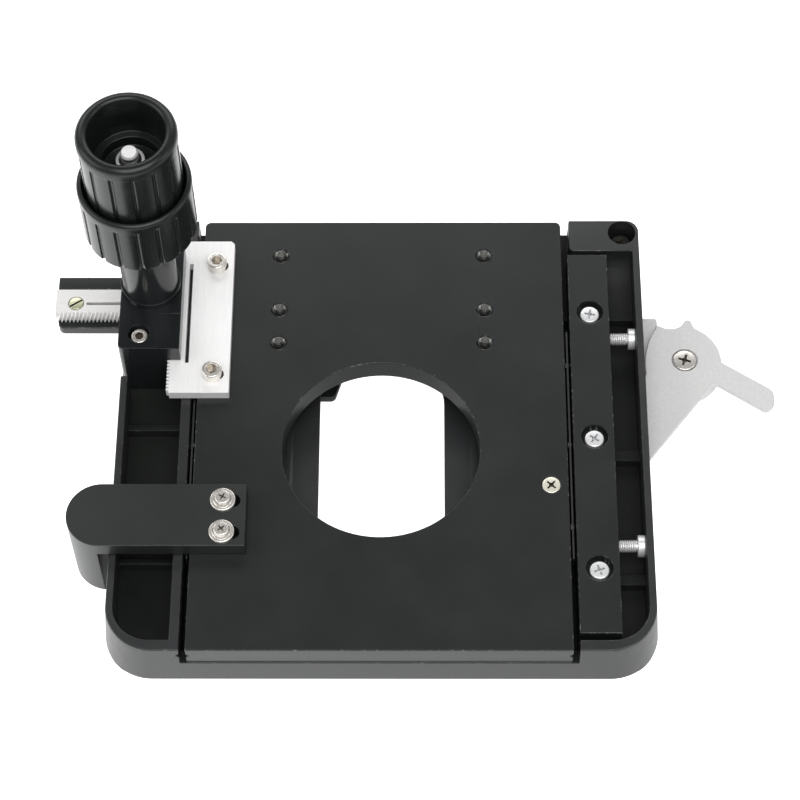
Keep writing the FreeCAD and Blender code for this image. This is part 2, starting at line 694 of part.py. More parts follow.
def x_pinion_shaft():
    """The inner shaft, with the slanted pinion of the cross rack at its lower end."""
    foot, top = -13.2, -10.2
    radius = number("gear_module * cross_teeth / 2")
    lean = math.tan(math.radians(number("helix_angle")))
    sections = []
    for height in (foot, top):
        turn = math.pi / 2 - (height - CROSS_GEAR_MIDDLE) * lean / radius
        points = pinion_points(int(number("cross_teeth")), turn)
        wire = Part.makePolygon(points + points[:1])
        wire.translate(Vector(0, 0, height))
        sections.append(wire)
    flanks = [Part.makeRuledSurface(low, high) for low, high in zip(*(wire.Edges for wire in sections))]
    gear = doc.addObject("Part::Feature", "x_pinion")
    gear.Shape = Part.makeSolid(Part.makeShell(flanks + [Part.Face(wire) for wire in sections]))
    gear.Placement = Placement(Vector(number("axis_left"), number("axis_back"), 0), Rotation())
    shaft = simple("Cylinder", "x_core", Radius="core_shaft", Height=70.2,
                   x="axis_left", y="axis_back", z=top)
    tip = simple("Cone", "x_core_tip", Radius1="core_shaft", Radius2="core_shaft - 0.4",
                 Height=0.7, x="axis_left", y="axis_back", z=60.0)
    nodes.append(joined("x_pinion_shaft", gear, shaft, tip))


def rack_fasteners():
    cap = screw("rack_cap_screw", 2.25, 2.5, 1.25, 7.5)
    group("y_rack_screws", cap, [(x, y, "rack_top") for x, y in RACK_SCREWS])
    flat = screw("flat_screw", 1.85, 0.9, 1.25, 3.6)
    group("x_rack_screws", flat, [(x, y, -10.9) for x, y in CROSS_RACK_SCREWS])


# ---------------------------------------------------------------- drive housing and knobs
def drive_housing():
    house = body("drive_housing")
    main = sketch(house, "XY_Plane", "floor_high + 0.05")
    rectangle(main, "house_left", "house_inner", "house_front", "house_rear")
    pad(house, main, "house_top - floor_high - 0.05")
    foot = sketch(house, "XY_Plane", "floor_low + 0.05")
    rectangle(foot, "house_left", "house_inner", "house_front", "seat_front - 0.2")
    pad(house, foot, "floor_high - floor_low")
    hood = sketch(house, "XY_Plane", 2.8)
    rectangle(hood, "house_inner", "house_right", "house_front", "house_rear")
    pad(house, hood, "house_top - 2.8")
    corners = [(number("house_left"), number("house_front")), (number("house_left"), number("house_rear"))]
    round_edges(house, corners, 1.2)
    tube = sketch(house, "XY_Plane", "house_top")
    circle(tube, "axis_left", "axis_back", "boss")
    pad(house, tube, "boss_top - house_top")
    collar = sketch(house, "XY_Plane", "house_top")
    circle(collar, "axis_left", "axis_back", "boss + 0.5")
    pad(house, collar, 1.6)
    bore(house, "axis_left", "axis_back", "tube_shaft + shaft_play", "boss_top + 1", 2.0)
    bore(house, "axis_left", "axis_back", 4.95, 3.0, -0.35)
    window = sketch(house, "XY_Plane", 3.0)
    rectangle(window, "axis_left", "house_right + 1", "axis_back - 4.95", "axis_back + 4.95")
    cut(house, window, 3.35)
    bore(house, "axis_left", "axis_back", "core_shaft + shaft_play", 1.0, "floor_low - 1")
    for x, y, seat in HOUSING_SCREWS:
        bore(house, x, y, 1.0, "house_top + 1", "floor_low - 1")
        bore(house, x, y, 2.5, "house_top + 1", seat)
    step = sketch(house, "XY_Plane", "house_top + 1")
    rectangle(step, -51.3, "house_right + 1", "house_front - 1", 31.0)
    cut(house, step, 1.25)
    small = screw("housing_cap_screw", 1.9, 2.0, 0.95, 17.2)
    group("housing_screws", small, HOUSING_SCREWS)


def fluted(piece, radius, top, foot, count, phase, wide=0.7, sink=0.3):
    """Cuts even finger grooves into the grip of a knob, from a height down past its lower end."""
    drawing = sketch(piece, "XY_Plane", top)
    angle = math.radians(phase)
    reach = number(radius) + sink
    circle(drawing, reach * math.cos(angle), reach * math.sin(angle), wide)
    groove = cut(piece, drawing, f"{top} - ({foot}) + 1")
    pattern(piece, "PolarPattern", groove, "Z_Axis", count, Angle=360)


def large_knob():
    """The lower knob: a cup that the small knob dips into, fixed on the outer shaft."""
    knob = body("large_knob", ("axis_left", "axis_back", 0))
    turned(knob, [
        ("tube_shaft", "big_foot"), ("big_radius - 0.5", "big_foot"), ("big_radius - 0.2", "big_foot + 0.4"),
        ("big_radius - 0.2", "big_rim - 2.6"), ("big_radius", "big_rim - 2.4"),
        ("big_radius", "big_rim - 0.8"), ("big_radius - 0.7", "big_rim"), ("big_cup", "big_rim"),
        ("big_cup", "big_rim - 6.5"), ("tube_shaft", "big_rim - 6.5"),
    ])
    fluted(knob, "big_radius - 0.2", "big_rim - 2.6", "big_foot", 17, -85.1)


def small_knob():
    """The end knob: a deep cup with a boss on the inner shaft."""
    knob = body("small_knob", ("axis_left", "axis_back", 0))
    turned(knob, [
        ("core_shaft", "small_foot"), ("small_radius - 0.3", "small_foot"),
        ("small_radius - 0.2", "small_rim - 3.4"), ("small_radius", "small_rim - 3.2"),
        ("small_radius", "small_rim - 0.9"), ("small_radius - 0.9", "small_rim"), ("small_cup", "small_rim"),
        ("small_cup", "small_rim - 11.2"), ("small_cup - 1.7", "small_rim - 11.2"),
        ("small_cup - 1.7", "small_rim - 14"), ("core_shaft + 1.4", "small_rim - 14"),
        ("core_shaft + 1.4", "small_rim - 11"), ("core_shaft", "small_rim - 11"),
    ])
    fluted(knob, "small_radius - 0.2", "small_rim - 3.4", "small_foot", 14, -80.6)
    ring = body("retaining_ring", ("axis_left", "axis_back", 0))
    washer = sketch(ring, "XY_Plane", "small_rim - 11")
    circle(washer, 0, 0, "core_shaft + 1.15")
    circle(washer, 0, 0, "core_shaft")
    pad(ring, washer, 0.7)
    gap = sketch(ring, "XY_Plane", "small_rim - 10")
    rectangle(gap, -0.9, 0.9, -5, 0)
    cut(ring, gap, 3)


# ---------------------------------------------------------------- cross slide
def x_carriage_bar():
    bar = body("x_carriage_bar")
    section = sketch(bar, "YZ_Plane", "bar_left")
    inset, mouth, inner = "bar_rear - 2.05", 1.3, 2.3
    polygon(section, [
        ("bar_front", "bar_foot"), ("bar_rear", "bar_foot"), ("bar_rear", f"dovetail_mid - {mouth}"),
        (inset, f"dovetail_mid - {inner}"), (inset, f"dovetail_mid + {inner}"),
        ("bar_rear", f"dovetail_mid + {mouth}"), ("bar_rear", "bar_top"), ("bar_ridge", "bar_top"),
        ("bar_ridge", "bar_ledge"), ("bar_front", "bar_ledge"),
    ])
    pad(bar, section, "bar_right - bar_left")
    round_edges(bar, [(number("bar_left"), number("bar_front"))], 1.5, reach=0.3)
    for x, y in CROSS_RACK_SCREWS:
        bore(bar, x, y, 1.25, "bar_top + 1", -15.6)
    for x, y in HOLDER_SCREWS:
        bore(bar, x, y, 1.2, -14.2, "bar_foot - 1")


HOLDER_SCREWS = [(-20.6, 46.2), (-13.6, 46.2), (50.2, 46.2), (55.8, 46.2)]


def x_guide_rail():
    rail = body("x_guide_rail")
    section = sketch(rail, "YZ_Plane", "-rail_half")
    face, tip = "bar_rear + 0.2", "bar_rear - 1.95"
    mouth, inner = 1.12, 2.17
    polygon(section, [
        (face, "rail_foot"), (61.7, "rail_foot"), (61.7, "channel_roof - 0.05"),
        (face, "channel_roof - 0.05"), (face, f"dovetail_mid + {mouth}"), (tip, f"dovetail_mid + {inner}"),
        (tip, f"dovetail_mid - {inner}"), (face, f"dovetail_mid - {mouth}"),
    ])
    pad(rail, section, "2 * rail_half")
    for x, y in RAIL_ENDS:
        bore(rail, x, y, 1.5, -9.0, -15.0)
    for x, y in RAIL_SCREWS:
        bore(rail, x, y, 1.4, -9.0, "rail_foot - 1")
        bore(rail, x, y, 2.4, -14.4, "rail_foot - 1")


# ---------------------------------------------------------------- slide holder
FINGER_EDGE = [
    [(62.4, 28.0)], [(62.9, 35.0), (65.2, 40.3)], [(65.5, 41.1), (66.2, 41.1)], [(68.6, 40.3), (70.6, 40.7)],
    [(71.4, 41.3), (72.0, 42.2)], [(73.0, 42.8), (73.9, 42.2)], [(74.2, 41.1), (74.9, 40.2)],
    [(79.0, 36.4), (80.4, 31.0)], [(90.9, 24.1)], [(92.0, 22.9), (92.2, 21.0)],
    [(92.1, 19.3), (91.3, 18.3)], [(90.2, 17.8), (89.0, 18.3)],
    [(79.6, 24.6)], [(78.3, 24.8), (77.2, 24.0)], [(55.9, -3.6)], [(55.0, -4.0), (55.0, -3.0)],
]
BRACKET_EDGE = [
    [(46.5, 51.2)], [(60.6, 51.2)], [(60.6, 44.9)], [(65.2, 44.9)], [(65.7, 44.7), (65.9, 44.2)],
    [(66.2, 36.0)], [(64.6, 26.2)], [(60.4, 31.7)], [(60.4, 41.3)], [(46.5, 41.3)],
]


def spring_finger():
    finger = body("spring_finger")
    plate = sketch(finger, "XY_Plane", "finger_top - finger_thick")
    curve_outline(plate, FINGER_EDGE)
    pad(finger, plate, "finger_thick")
    boss = sketch(finger, "XY_Plane", "finger_top - finger_boss")
    circle(boss, "pivot_right", "pivot_back", 4.2)
    pad(finger, boss, "finger_boss")
    bore(finger, "pivot_right", "pivot_back", 2.05, "finger_top + 1", "finger_top - finger_boss - 1")
    bore(finger, "pivot_right", "pivot_back", 3.05, "finger_top + 1", "finger_top - 1.3")


def finger_bracket():
    bracket = body("finger_bracket")
    foot = number("bar_foot") - BRACKET_THICK
    arm = sketch(bracket, "XY_Plane", foot)
    curve_outline(arm, BRACKET_EDGE)
    pad(bracket, arm, BRACKET_THICK)
    hub = sketch(bracket, "XY_Plane", foot)
    circle(hub, "pivot_right", "pivot_back", "hub_radius")
    pad(bracket, hub, BRACKET_THICK)
    well = sketch(bracket, "XY_Plane", "bar_foot + 1")
    circle(well, "pivot_right", "pivot_back", SPRING_WELL)
    circle(well, "pivot_right", "pivot_back", 2.0)
    cut(bracket, well, 3.4)
    collar = sketch(bracket, "XY_Plane", "bar_foot")
    circle(collar, "pivot_right", "pivot_back", 2.0)
    pad(bracket, collar, "finger_top - 1.35 - bar_foot")
    bore(bracket, "pivot_right", "pivot_back", 1.25, "finger_top + 1", foot - 1)
    for x, y in HOLDER_SCREWS[2:]:
        bore(bracket, x, y, 1.4, -10.0, -25.0)
        bore(bracket, x, y, 2.3, "bar_foot - 2", -25.0)


JAW_EDGE = [
    [(-24.0, 13.6)], [(-23.9, 13.3), (-23.6, 13.2)], [(-16.9, 13.2)], [(-16.6, 13.3), (-16.5, 13.6)],
    [(-16.5, 21.2)], [(-12.2, 21.2)], [(-11.4, 21.5), (-10.9, 22.3)], [(-9.5, 26.8)],
    [(-9.3, 27.7), (-9.2, 28.6)], [(-9.2, 40.3)], [(-24.0, 40.3)],
]
BRACKET_THICK = 3.2
SPRING_WELL = 4.8


def fixed_jaw():
    """A plate with its corner against the slide, its root and a foot that goes under the bar."""
    jaw = body("fixed_jaw")
    plate = sketch(jaw, "XY_Plane", "finger_top - jaw_thick")
    curve_outline(plate, JAW_EDGE)
    pad(jaw, plate, "jaw_thick")
    root = sketch(jaw, "XY_Plane", "bar_foot - 2")
    rectangle(root, -24.0, -9.2, 36.0, "bar_front - 0.2")
    pad(jaw, root, "finger_top - bar_foot + 2")
    foot = sketch(jaw, "XY_Plane", "bar_foot - 2")
    rectangle(foot, -24.0, -9.2, 36.0, 51.0)
    pad(jaw, foot, 2.0)
    for x, y in HOLDER_SCREWS[:2]:
        bore(jaw, x, y, 1.4, -15.0, -20.0)


def finger_spring():
    """A flat spiral spring, made of half turns, round the collar in the well of the bracket."""
    inner, wide, tall, pitch, half_turns = 2.3, 0.3, 1.6, 0.9, 5

    def winding(first):
        arcs = []
        for turn in range(half_turns):
            odd = turn % 2
            middle, side, reach = odd * pitch / 2, 1 - 2 * odd, first + turn * pitch / 2
            arcs.append([(middle + side * reach, 0), (middle, side * reach), (middle - side * reach, 0)])
        return arcs

    inside, outside = winding(inner), winding(inner + wide)
    steps = [[top, end] for _, top, end in inside] + [[outside[-1][2]]]
    steps += [[top, begin] for begin, top, _ in reversed(outside)] + [[inside[0][0]]]
    spring = body("finger_spring", ("pivot_right", "pivot_back", 0))
    drawing = sketch(spring, "XY_Plane", "bar_foot - 2.3")
    curve_outline(drawing, steps)
    pad(spring, drawing, tall)


# ---------------------------------------------------------------- index arm
def index_arm():
    """The bracket from the fixed plate round the side of the stage, with slots for setting it."""
    arm = body("index_arm")
    mid, half = "(arm_front + arm_rear) / 2", "(arm_rear - arm_front) / 2"
    tall = {"-seat_deep": "arm_thick + seat_deep", "arm_foot": "-arm_foot"}
    for height, inner in (("-seat_deep", "arm_right"), ("arm_foot", "arm_post")):
        strip = sketch(arm, "XY_Plane", height)
        rectangle(strip, f"arm_left + {half}", inner, "arm_front", "arm_rear")
        pad(arm, strip, tall[height])
        drum = sketch(arm, "XY_Plane", height)
        circle(drum, f"arm_left + {half}", mid, half)
        pad(arm, drum, tall[height])
    trim = sketch(arm, "XY_Plane", "-seat_deep")
    rectangle(trim, "arm_post", "arm_right - 5", "arm_front - 5", "arm_rear + 5")
    cut(arm, trim, "-arm_foot + 1")
    slots = sketch(arm, "XY_Plane", "arm_thick + 1")
    for x, y in ARM_SCREWS:
        oblong(slots, x - 1.2, x + 2.3, y, 1.6)
    cut(arm, slots, "arm_thick + 2")


def plate_fasteners():
    wide = screw("arm_pan_screw", 2.85, 1.9, 1.45, 8.4)
    group("index_arm_screws", wide, [(x, y, "arm_thick") for x, y in ARM_SCREWS])
    stop = screw("stop_flat_screw", 2.05, 1.05, 1.2, 3.8)
    group("stop_screw", stop, [(*STOP_SCREW, STOP_SEAT)])


def stage_fasteners():
    clamp = screw("gib_pan_screw", 2.2, 1.6, 1.15, 9.2)
    group("gib_screws", clamp, [(x, y, GIB_SEAT) for x, y in GIB_SCREWS])
    end = screw("rail_end_screw", 2.6, 1.8, 1.45, 7.6)
    group("rail_end_screws", end, [(x, y, -7.0) for x, y in RAIL_ENDS])
    jack = screw("jack_screw", 2.5, 1.7, 1.45, 8.2)
    aimed(group("gib_adjusting_screws", jack, [(57.5, row, JACK_HEIGHT) for row in JACK_ROWS]),
          Vector(0, 1, 0), 90)
    deep = screw("rail_screw", 2.1, 1.6, 1.15, 6.4)
    aimed(group("x_guide_rail_screws", deep, [(x, y, -14.4) for x, y in RAIL_SCREWS]), Vector(1, 0, 0), 180)
    under = screw("under_screw", 2.1, 1.6, 1.15, 4.2)
    aimed(group("holder_screws", under, [(x, y, "bar_foot - 2") for x, y in HOLDER_SCREWS]),
          Vector(1, 0, 0), 180)
    pivot = screw("pivot_pan_screw", 2.75, 1.2, 1.2, 5.0)
    group("pivot_screw", pivot, [("pivot_right", "pivot_back", "finger_top - 1.3")])


# ---------------------------------------------------------------- build, check and write
base_plate()
stage_casting()
gib_strip()
ball_guides()
y_rack()
x_rack()
y_pinion_shaft()
x_pinion_shaft()
rack_fasteners()
drive_housing()
large_knob()
small_knob()
x_carriage_bar()
x_guide_rail()
spring_finger()
finger_bracket()
fixed_jaw()
finger_spring()
index_arm()
plate_fasteners()
stage_fasteners()
doc.recompute()

failed = [f"{thing.Label} ({', '.join(owner.Label for owner in thing.InList)}): {thing.State}"
          for thing in doc.Objects if "Invalid" in thing.State or "Error" in thing.State]
if failed:
    raise RuntimeError("\n".join(failed))
os.makedirs("parts", exist_ok=True)
for piece in nodes:
    shape = piece.Shape
    if shape.isNull() or not shape.isValid() or not shape.Solids:
        raise RuntimeError(f"{piece.Label} has no valid solid")
    shape.exportStep(f"parts/{piece.Label}.step")
    print(f"{piece.Label}: {len(shape.Solids)} solid(s), {shape.Volume:.1f} mm3")
print(f"{len(nodes)} sub-parts")
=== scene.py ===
import json
import math

import bmesh
import bpy
from mathutils import Matrix, Vector

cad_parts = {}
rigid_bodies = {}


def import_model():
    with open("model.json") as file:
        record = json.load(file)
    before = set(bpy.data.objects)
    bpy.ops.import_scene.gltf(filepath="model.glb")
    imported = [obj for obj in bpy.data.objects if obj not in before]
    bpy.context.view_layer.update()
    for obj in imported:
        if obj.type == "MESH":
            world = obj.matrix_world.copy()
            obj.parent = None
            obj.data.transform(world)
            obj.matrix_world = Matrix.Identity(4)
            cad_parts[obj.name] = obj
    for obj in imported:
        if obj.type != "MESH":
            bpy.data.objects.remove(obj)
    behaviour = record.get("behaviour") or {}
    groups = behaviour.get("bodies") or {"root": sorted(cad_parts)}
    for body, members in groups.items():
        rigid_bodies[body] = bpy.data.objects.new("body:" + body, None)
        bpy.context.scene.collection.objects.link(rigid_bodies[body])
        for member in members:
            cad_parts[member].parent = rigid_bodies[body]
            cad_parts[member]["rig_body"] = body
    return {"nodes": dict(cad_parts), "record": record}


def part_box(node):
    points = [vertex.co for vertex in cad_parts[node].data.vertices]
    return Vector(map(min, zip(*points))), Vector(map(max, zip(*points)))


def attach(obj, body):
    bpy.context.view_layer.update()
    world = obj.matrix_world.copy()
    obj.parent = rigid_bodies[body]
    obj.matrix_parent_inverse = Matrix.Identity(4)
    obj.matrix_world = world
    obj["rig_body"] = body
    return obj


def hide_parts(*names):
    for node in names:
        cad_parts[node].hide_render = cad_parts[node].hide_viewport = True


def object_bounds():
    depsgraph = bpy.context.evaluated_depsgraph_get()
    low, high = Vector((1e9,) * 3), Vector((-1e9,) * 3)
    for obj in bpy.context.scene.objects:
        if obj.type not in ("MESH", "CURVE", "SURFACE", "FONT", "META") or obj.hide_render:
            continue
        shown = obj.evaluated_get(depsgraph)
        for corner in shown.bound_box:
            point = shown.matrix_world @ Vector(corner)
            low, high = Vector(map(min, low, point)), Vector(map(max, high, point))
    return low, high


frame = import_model()
cadLow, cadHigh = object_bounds()
parts = frame["nodes"]
slotOf = {row["node"]: row["material_slot"] for row in frame["record"]["subparts"]}
mm = 0.001
turn = 2 * math.pi
weld = 0.002 * mm  # points closer than this become one
studio = bpy.context.scene


# camera: the stage seen from above its front edge
lens = {"spot": (9.26, -279.63, 506.08), "elevation": 59.995, "yaw": -0.975, "roll": -0.86, "focal": 114.74,
        "sensor": 36, "near": 0.01, "far": 20}


def placeCamera():
    yaw, tip, roll = (math.radians(lens[key]) for key in ("yaw", "elevation", "roll"))
    ahead = Vector((math.sin(yaw) * math.cos(tip), math.cos(yaw) * math.cos(tip), -math.sin(tip)))
    right = Vector((math.cos(yaw), -math.sin(yaw), 0))
    above = right.cross(ahead)
    across = right * math.cos(roll) + above * math.sin(roll)
    upward = above * math.cos(roll) - right * math.sin(roll)
    data = bpy.data.cameras.new("viewpoint")
    data.lens, data.sensor_width = lens["focal"], lens["sensor"]
    data.clip_start, data.clip_end = lens["near"], lens["far"]
    eye = bpy.data.objects.new("viewpoint", data)
    turned = Matrix((across, upward, -ahead)).transposed().to_4x4()
    eye.matrix_world = Matrix.Translation(Vector(lens["spot"]) * mm) @ turned
    studio.collection.objects.link(eye)
    studio.camera = eye


placeCamera()
print("camera placed")


# studio: a bright table, whose glow is painted light, an even sky and soft boxes
sky = {"lift": 1.0, "stops": ((0.45, (0.50, 0.50, 0.505)), (0.95, (0.20, 0.202, 0.206)))}  # low, then high
boxes = {  # azimuth and elevation in degrees, distance and size in metres
    "overhead": {"azimuth": 285, "elevation": 68, "far": 1.1, "wide": 0.9, "tall": 0.9, "power": 10.0},
    "rearBox": {"azimuth": 96, "elevation": 40, "far": 1.3, "wide": 1.5, "tall": 0.45, "power": 5.6},
    "leftBox": {"azimuth": 185, "elevation": 35, "far": 1.1, "wide": 0.7, "tall": 0.8, "power": 3.4},
    "rightBox": {"azimuth": -8, "elevation": 28, "far": 1.2, "wide": 0.4, "tall": 0.8, "power": 1.5},
}
tableTop = {  # a pale table whose glow is painted light: brighter on the left, with a painted shadow under the stage, and evenly white where the camera sees it
    "reach": 6.0, "tone": (0.62, 0.625, 0.63), "rough": 0.6, "paintedGlow": (1.18, 0.54), "span": (-0.10, 0.12),
    "seen": 1.2, "shade": 0.12, "middle": (-0.0005, 0.0065, 0), "half": (0.0630, 0.0575, 0), "round": 0.011,
    "patch": 3.0, "contrast": 0.4, "patchTone": 0.985}


def addBox(name, box):
    middle = (cadLow + cadHigh) / 2
    angle, rise = math.radians(box["azimuth"]), math.radians(box["elevation"])
    away = Vector((math.cos(angle) * math.cos(rise), math.sin(angle) * math.cos(rise), math.sin(rise)))
    data = bpy.data.lights.new(name, "AREA")
    data.shape, data.size, data.size_y, data.energy = "RECTANGLE", box["wide"], box["tall"], box["power"]
    lamp = bpy.data.objects.new(name, data)
    lamp.location = middle + away * box["far"]
    lamp.rotation_euler = (-away).to_track_quat("-Z", "Y").to_euler()
    studio.collection.objects.link(lamp)


def addSky():
    world = bpy.data.worlds.new("sky")
    world.use_nodes = True
    tree = world.node_tree
    back = tree.nodes["Background"]
    place = tree.nodes.new("ShaderNodeTexCoord")
    split = tree.nodes.new("ShaderNodeSeparateXYZ")
    ramp = tree.nodes.new("ShaderNodeValToRGB")
    ramp.color_ramp.interpolation = "EASE"
    for stop, (position, colour) in zip(ramp.color_ramp.elements, sky["stops"]):
        stop.position, stop.color = position, (*colour, 1)
    back.inputs["Strength"].default_value = sky["lift"]
    tree.links.new(place.outputs["Generated"], split.inputs[0])
    tree.links.new(split.outputs["Z"], ramp.inputs["Fac"])
    tree.links.new(ramp.outputs["Color"], back.inputs["Color"])
    studio.world = world


for name, box in boxes.items():
    addBox(name, box)
addSky()
studio.view_settings.view_transform = "Standard"
studio.view_settings.look = "None"
print("lights placed")


# shader groups
def newGroup(name, entries, results):
    tree = bpy.data.node_groups.new(name, "ShaderNodeTree")
    for label, kind, value in entries:
        socket = tree.interface.new_socket(label, in_out="INPUT", socket_type=f"NodeSocket{kind}")
        socket.default_value = value
    for label, kind in results:
        tree.interface.new_socket(label, in_out="OUTPUT", socket_type=f"NodeSocket{kind}")
    return tree, tree.nodes.new("NodeGroupInput"), tree.nodes.new("NodeGroupOutput")


def node(tree, kind, links=None, **settings):
    made = tree.nodes.new(f"ShaderNode{kind}")
    for key, value in settings.items():
        setattr(made, key, value)
    for key, value in (links or {}).items():
        if isinstance(value, bpy.types.NodeSocket):
            tree.links.new(value, made.inputs[key])
        else:
            made.inputs[key].default_value = value
    return made


def makeMottle():  # soft patches, 0 to 1
    tree, given, result = newGroup("mottle", [("Scale", "Float", 200.0), ("Contrast", "Float", 0.3)],
                                   [("Mask", "Float")])
    place = node(tree, "TexCoord")
    cloud = node(tree, "TexNoise", {"Vector": place.outputs["Object"], "Scale": given.outputs["Scale"],
                                    "Detail": 5.0, "Roughness": 0.6})
    low = node(tree, "Math", {0: 0.5, 1: given.outputs["Contrast"]}, operation="SUBTRACT")
    high = node(tree, "Math", {0: 0.5, 1: given.outputs["Contrast"]}, operation="ADD")
    span = node(tree, "MapRange", {"Value": cloud.outputs[0], "From Min": low.outputs[0],
                                   "From Max": high.outputs[0]})
    tree.links.new(span.outputs[0], result.inputs["Mask"])
    return tree


def makeRelief():  # fine skin of a cast, blasted or moulded surface
    tree, given, result = newGroup(
        "relief", [("Scale", "Float", 1500.0), ("Strength", "Float", 0.3), ("Distance", "Float", 0.00003)],
        [("Normal", "Vector")])
    place = node(tree, "TexCoord")
    coarse = node(tree, "TexNoise", {"Vector": place.outputs["Object"], "Scale": given.outputs["Scale"],
                                     "Detail": 3.0, "Roughness": 0.55})
    dents = node(tree, "TexVoronoi", {"Vector": place.outputs["Object"], "Scale": given.outputs["Scale"]},
                 feature="SMOOTH_F1")
    both = node(tree, "Math", {0: coarse.outputs[0], 1: dents.outputs["Distance"]}, operation="ADD")
    bump = node(tree, "Bump", {"Height": both.outputs[0], "Strength": given.outputs["Strength"],
                               "Distance": given.outputs["Distance"]})
    tree.links.new(bump.outputs[0], result.inputs["Normal"])
    return tree


def makeStreaks():  # lines left by grinding or brushing, drawn out along the smallest stretch
    tree, given, result = newGroup(
        "streaks", [("Stretch", "Vector", (1.0, 1.0, 1.0)), ("Strength", "Float", 0.2),
                    ("Distance", "Float", 0.00002)], [("Mask", "Float"), ("Normal", "Vector")])
    place = node(tree, "TexCoord")
    drawn = node(tree, "Mapping", {"Vector": place.outputs["Object"], "Scale": given.outputs["Stretch"]})
    lines = node(tree, "TexNoise", {"Vector": drawn.outputs[0], "Scale": 1.0, "Detail": 4.0,
                                    "Roughness": 0.7})
    bump = node(tree, "Bump", {"Height": lines.outputs[0], "Strength": given.outputs["Strength"],
                               "Distance": given.outputs["Distance"]})
    span = node(tree, "MapRange", {"Value": lines.outputs[0], "From Min": 0.3, "From Max": 0.7})
    tree.links.new(span.outputs[0], result.inputs["Mask"])
    tree.links.new(bump.outputs[0], result.inputs["Normal"])
    return tree


def makeRubbed():  # broken specks along softened edges, where the finish is worn through
    tree, given, result = newGroup("rubbed", [("Scale", "Float", 900.0), ("Amount", "Float", 0.5)],
                                   [("Mask", "Float")])
    place = node(tree, "TexCoord")
    edge = node(tree, "Attribute", attribute_name="rub")
    cloud = node(tree, "TexNoise", {"Vector": place.outputs["Object"], "Scale": given.outputs["Scale"],
                                    "Detail": 4.0, "Roughness": 0.7})
    span = node(tree, "MapRange", {"Value": cloud.outputs[0], "From Min": 0.55, "From Max": 0.72})
    some = node(tree, "Math", {0: span.outputs[0], 1: given.outputs["Amount"]}, operation="MULTIPLY")
    here = node(tree, "Math", {0: some.outputs[0], 1: edge.outputs["Fac"]}, operation="MULTIPLY")
    tree.links.new(here.outputs[0], result.inputs["Mask"])
    return tree


def makeHollow():  # floors of the side pockets, which face up below a level; where painted shade goes
    tree, given, result = newGroup("hollow", [("Level", "Float", -0.004), ("Side", "Float", 0.042)],
                                   [("Mask", "Float")])
    place, facing = node(tree, "TexCoord"), node(tree, "NewGeometry")
    spot = node(tree, "SeparateXYZ", {0: place.outputs["Object"]})
    tilt = node(tree, "SeparateXYZ", {0: facing.outputs["Normal"]})
    deep = node(tree, "Math", {0: spot.outputs["Z"], 1: given.outputs["Level"]}, operation="LESS_THAN")
    aside = node(tree, "Math", {0: spot.outputs["X"]}, operation="ABSOLUTE")
    beyond = node(tree, "Math", {0: aside.outputs[0], 1: given.outputs["Side"]}, operation="GREATER_THAN")
    flat = node(tree, "MapRange", {"Value": tilt.outputs["Z"], "From Min": 0.5, "From Max": 0.9})
    both = node(tree, "Math", {0: deep.outputs[0], 1: beyond.outputs[0]}, operation="MULTIPLY")
    every = node(tree, "Math", {0: both.outputs[0], 1: flat.outputs[0]}, operation="MULTIPLY")
    tree.links.new(every.outputs[0], result.inputs["Mask"])
    return tree


def makeFootprint():  # inside of a rectangle with rounded corners, seen from above
    tree, given, result = newGroup(
        "footprint", [("Middle", "Vector", (0, 0, 0)), ("Half", "Vector", (1, 1, 0)),
                      ("Round", "Float", 0.01)], [("Mask", "Float")])
    place = node(tree, "TexCoord")
    flat = node(tree, "VectorMath", {0: place.outputs["Object"], 1: (1, 1, 0)}, operation="MULTIPLY")
    off = node(tree, "VectorMath", {0: flat.outputs[0], 1: given.outputs["Middle"]}, operation="SUBTRACT")
    side = node(tree, "VectorMath", {0: off.outputs[0]}, operation="ABSOLUTE")
    inset = node(tree, "CombineXYZ", {0: given.outputs["Round"], 1: given.outputs["Round"]})
    core = node(tree, "VectorMath", {0: given.outputs["Half"], 1: inset.outputs[0]}, operation="SUBTRACT")
    past = node(tree, "VectorMath", {0: side.outputs[0], 1: core.outputs[0]}, operation="SUBTRACT")
    kept = node(tree, "VectorMath", {0: past.outputs[0], 1: (0, 0, 0)}, operation="MAXIMUM")
    reach = node(tree, "VectorMath", {0: kept.outputs[0]}, operation="LENGTH")
    within = node(tree, "Math", {0: reach.outputs["Value"], 1: given.outputs["Round"]}, operation="LESS_THAN")
    tree.links.new(within.outputs[0], result.inputs["Mask"])
    return tree


groups = {"mottle": makeMottle(), "relief": makeRelief(), "streaks": makeStreaks(), "rubbed": makeRubbed(),
          "hollow": makeHollow(), "footprint": makeFootprint()}


def useGroup(tree, name, **values):
    made = tree.nodes.new("ShaderNodeGroup")
    made.node_tree = groups[name]
    for key, value in values.items():
        made.inputs[key].default_value = value
    return made


def blendColours(tree, mask, first, second):
    mix = tree.nodes.new("ShaderNodeMix")
    mix.data_type = "RGBA"
    tree.links.new(mask, mix.inputs["Factor"])
    for socket, value in ((mix.inputs["A"], first), (mix.inputs["B"], second)):
        if isinstance(value, bpy.types.NodeSocket):
            tree.links.new(value, socket)
        else:
            socket.default_value = (*value, 1)
    return mix.outputs["Result"]


plainLook = {"metal": 0.0, "specular": 0.5, "contrast": 0.3, "speck": 900.0}  # where a look says nothing else
deepFloor = {"level": -0.004, "side": 0.042, "specular": 0.2}  # metres; the pockets of the casting, whose floors get painted shade
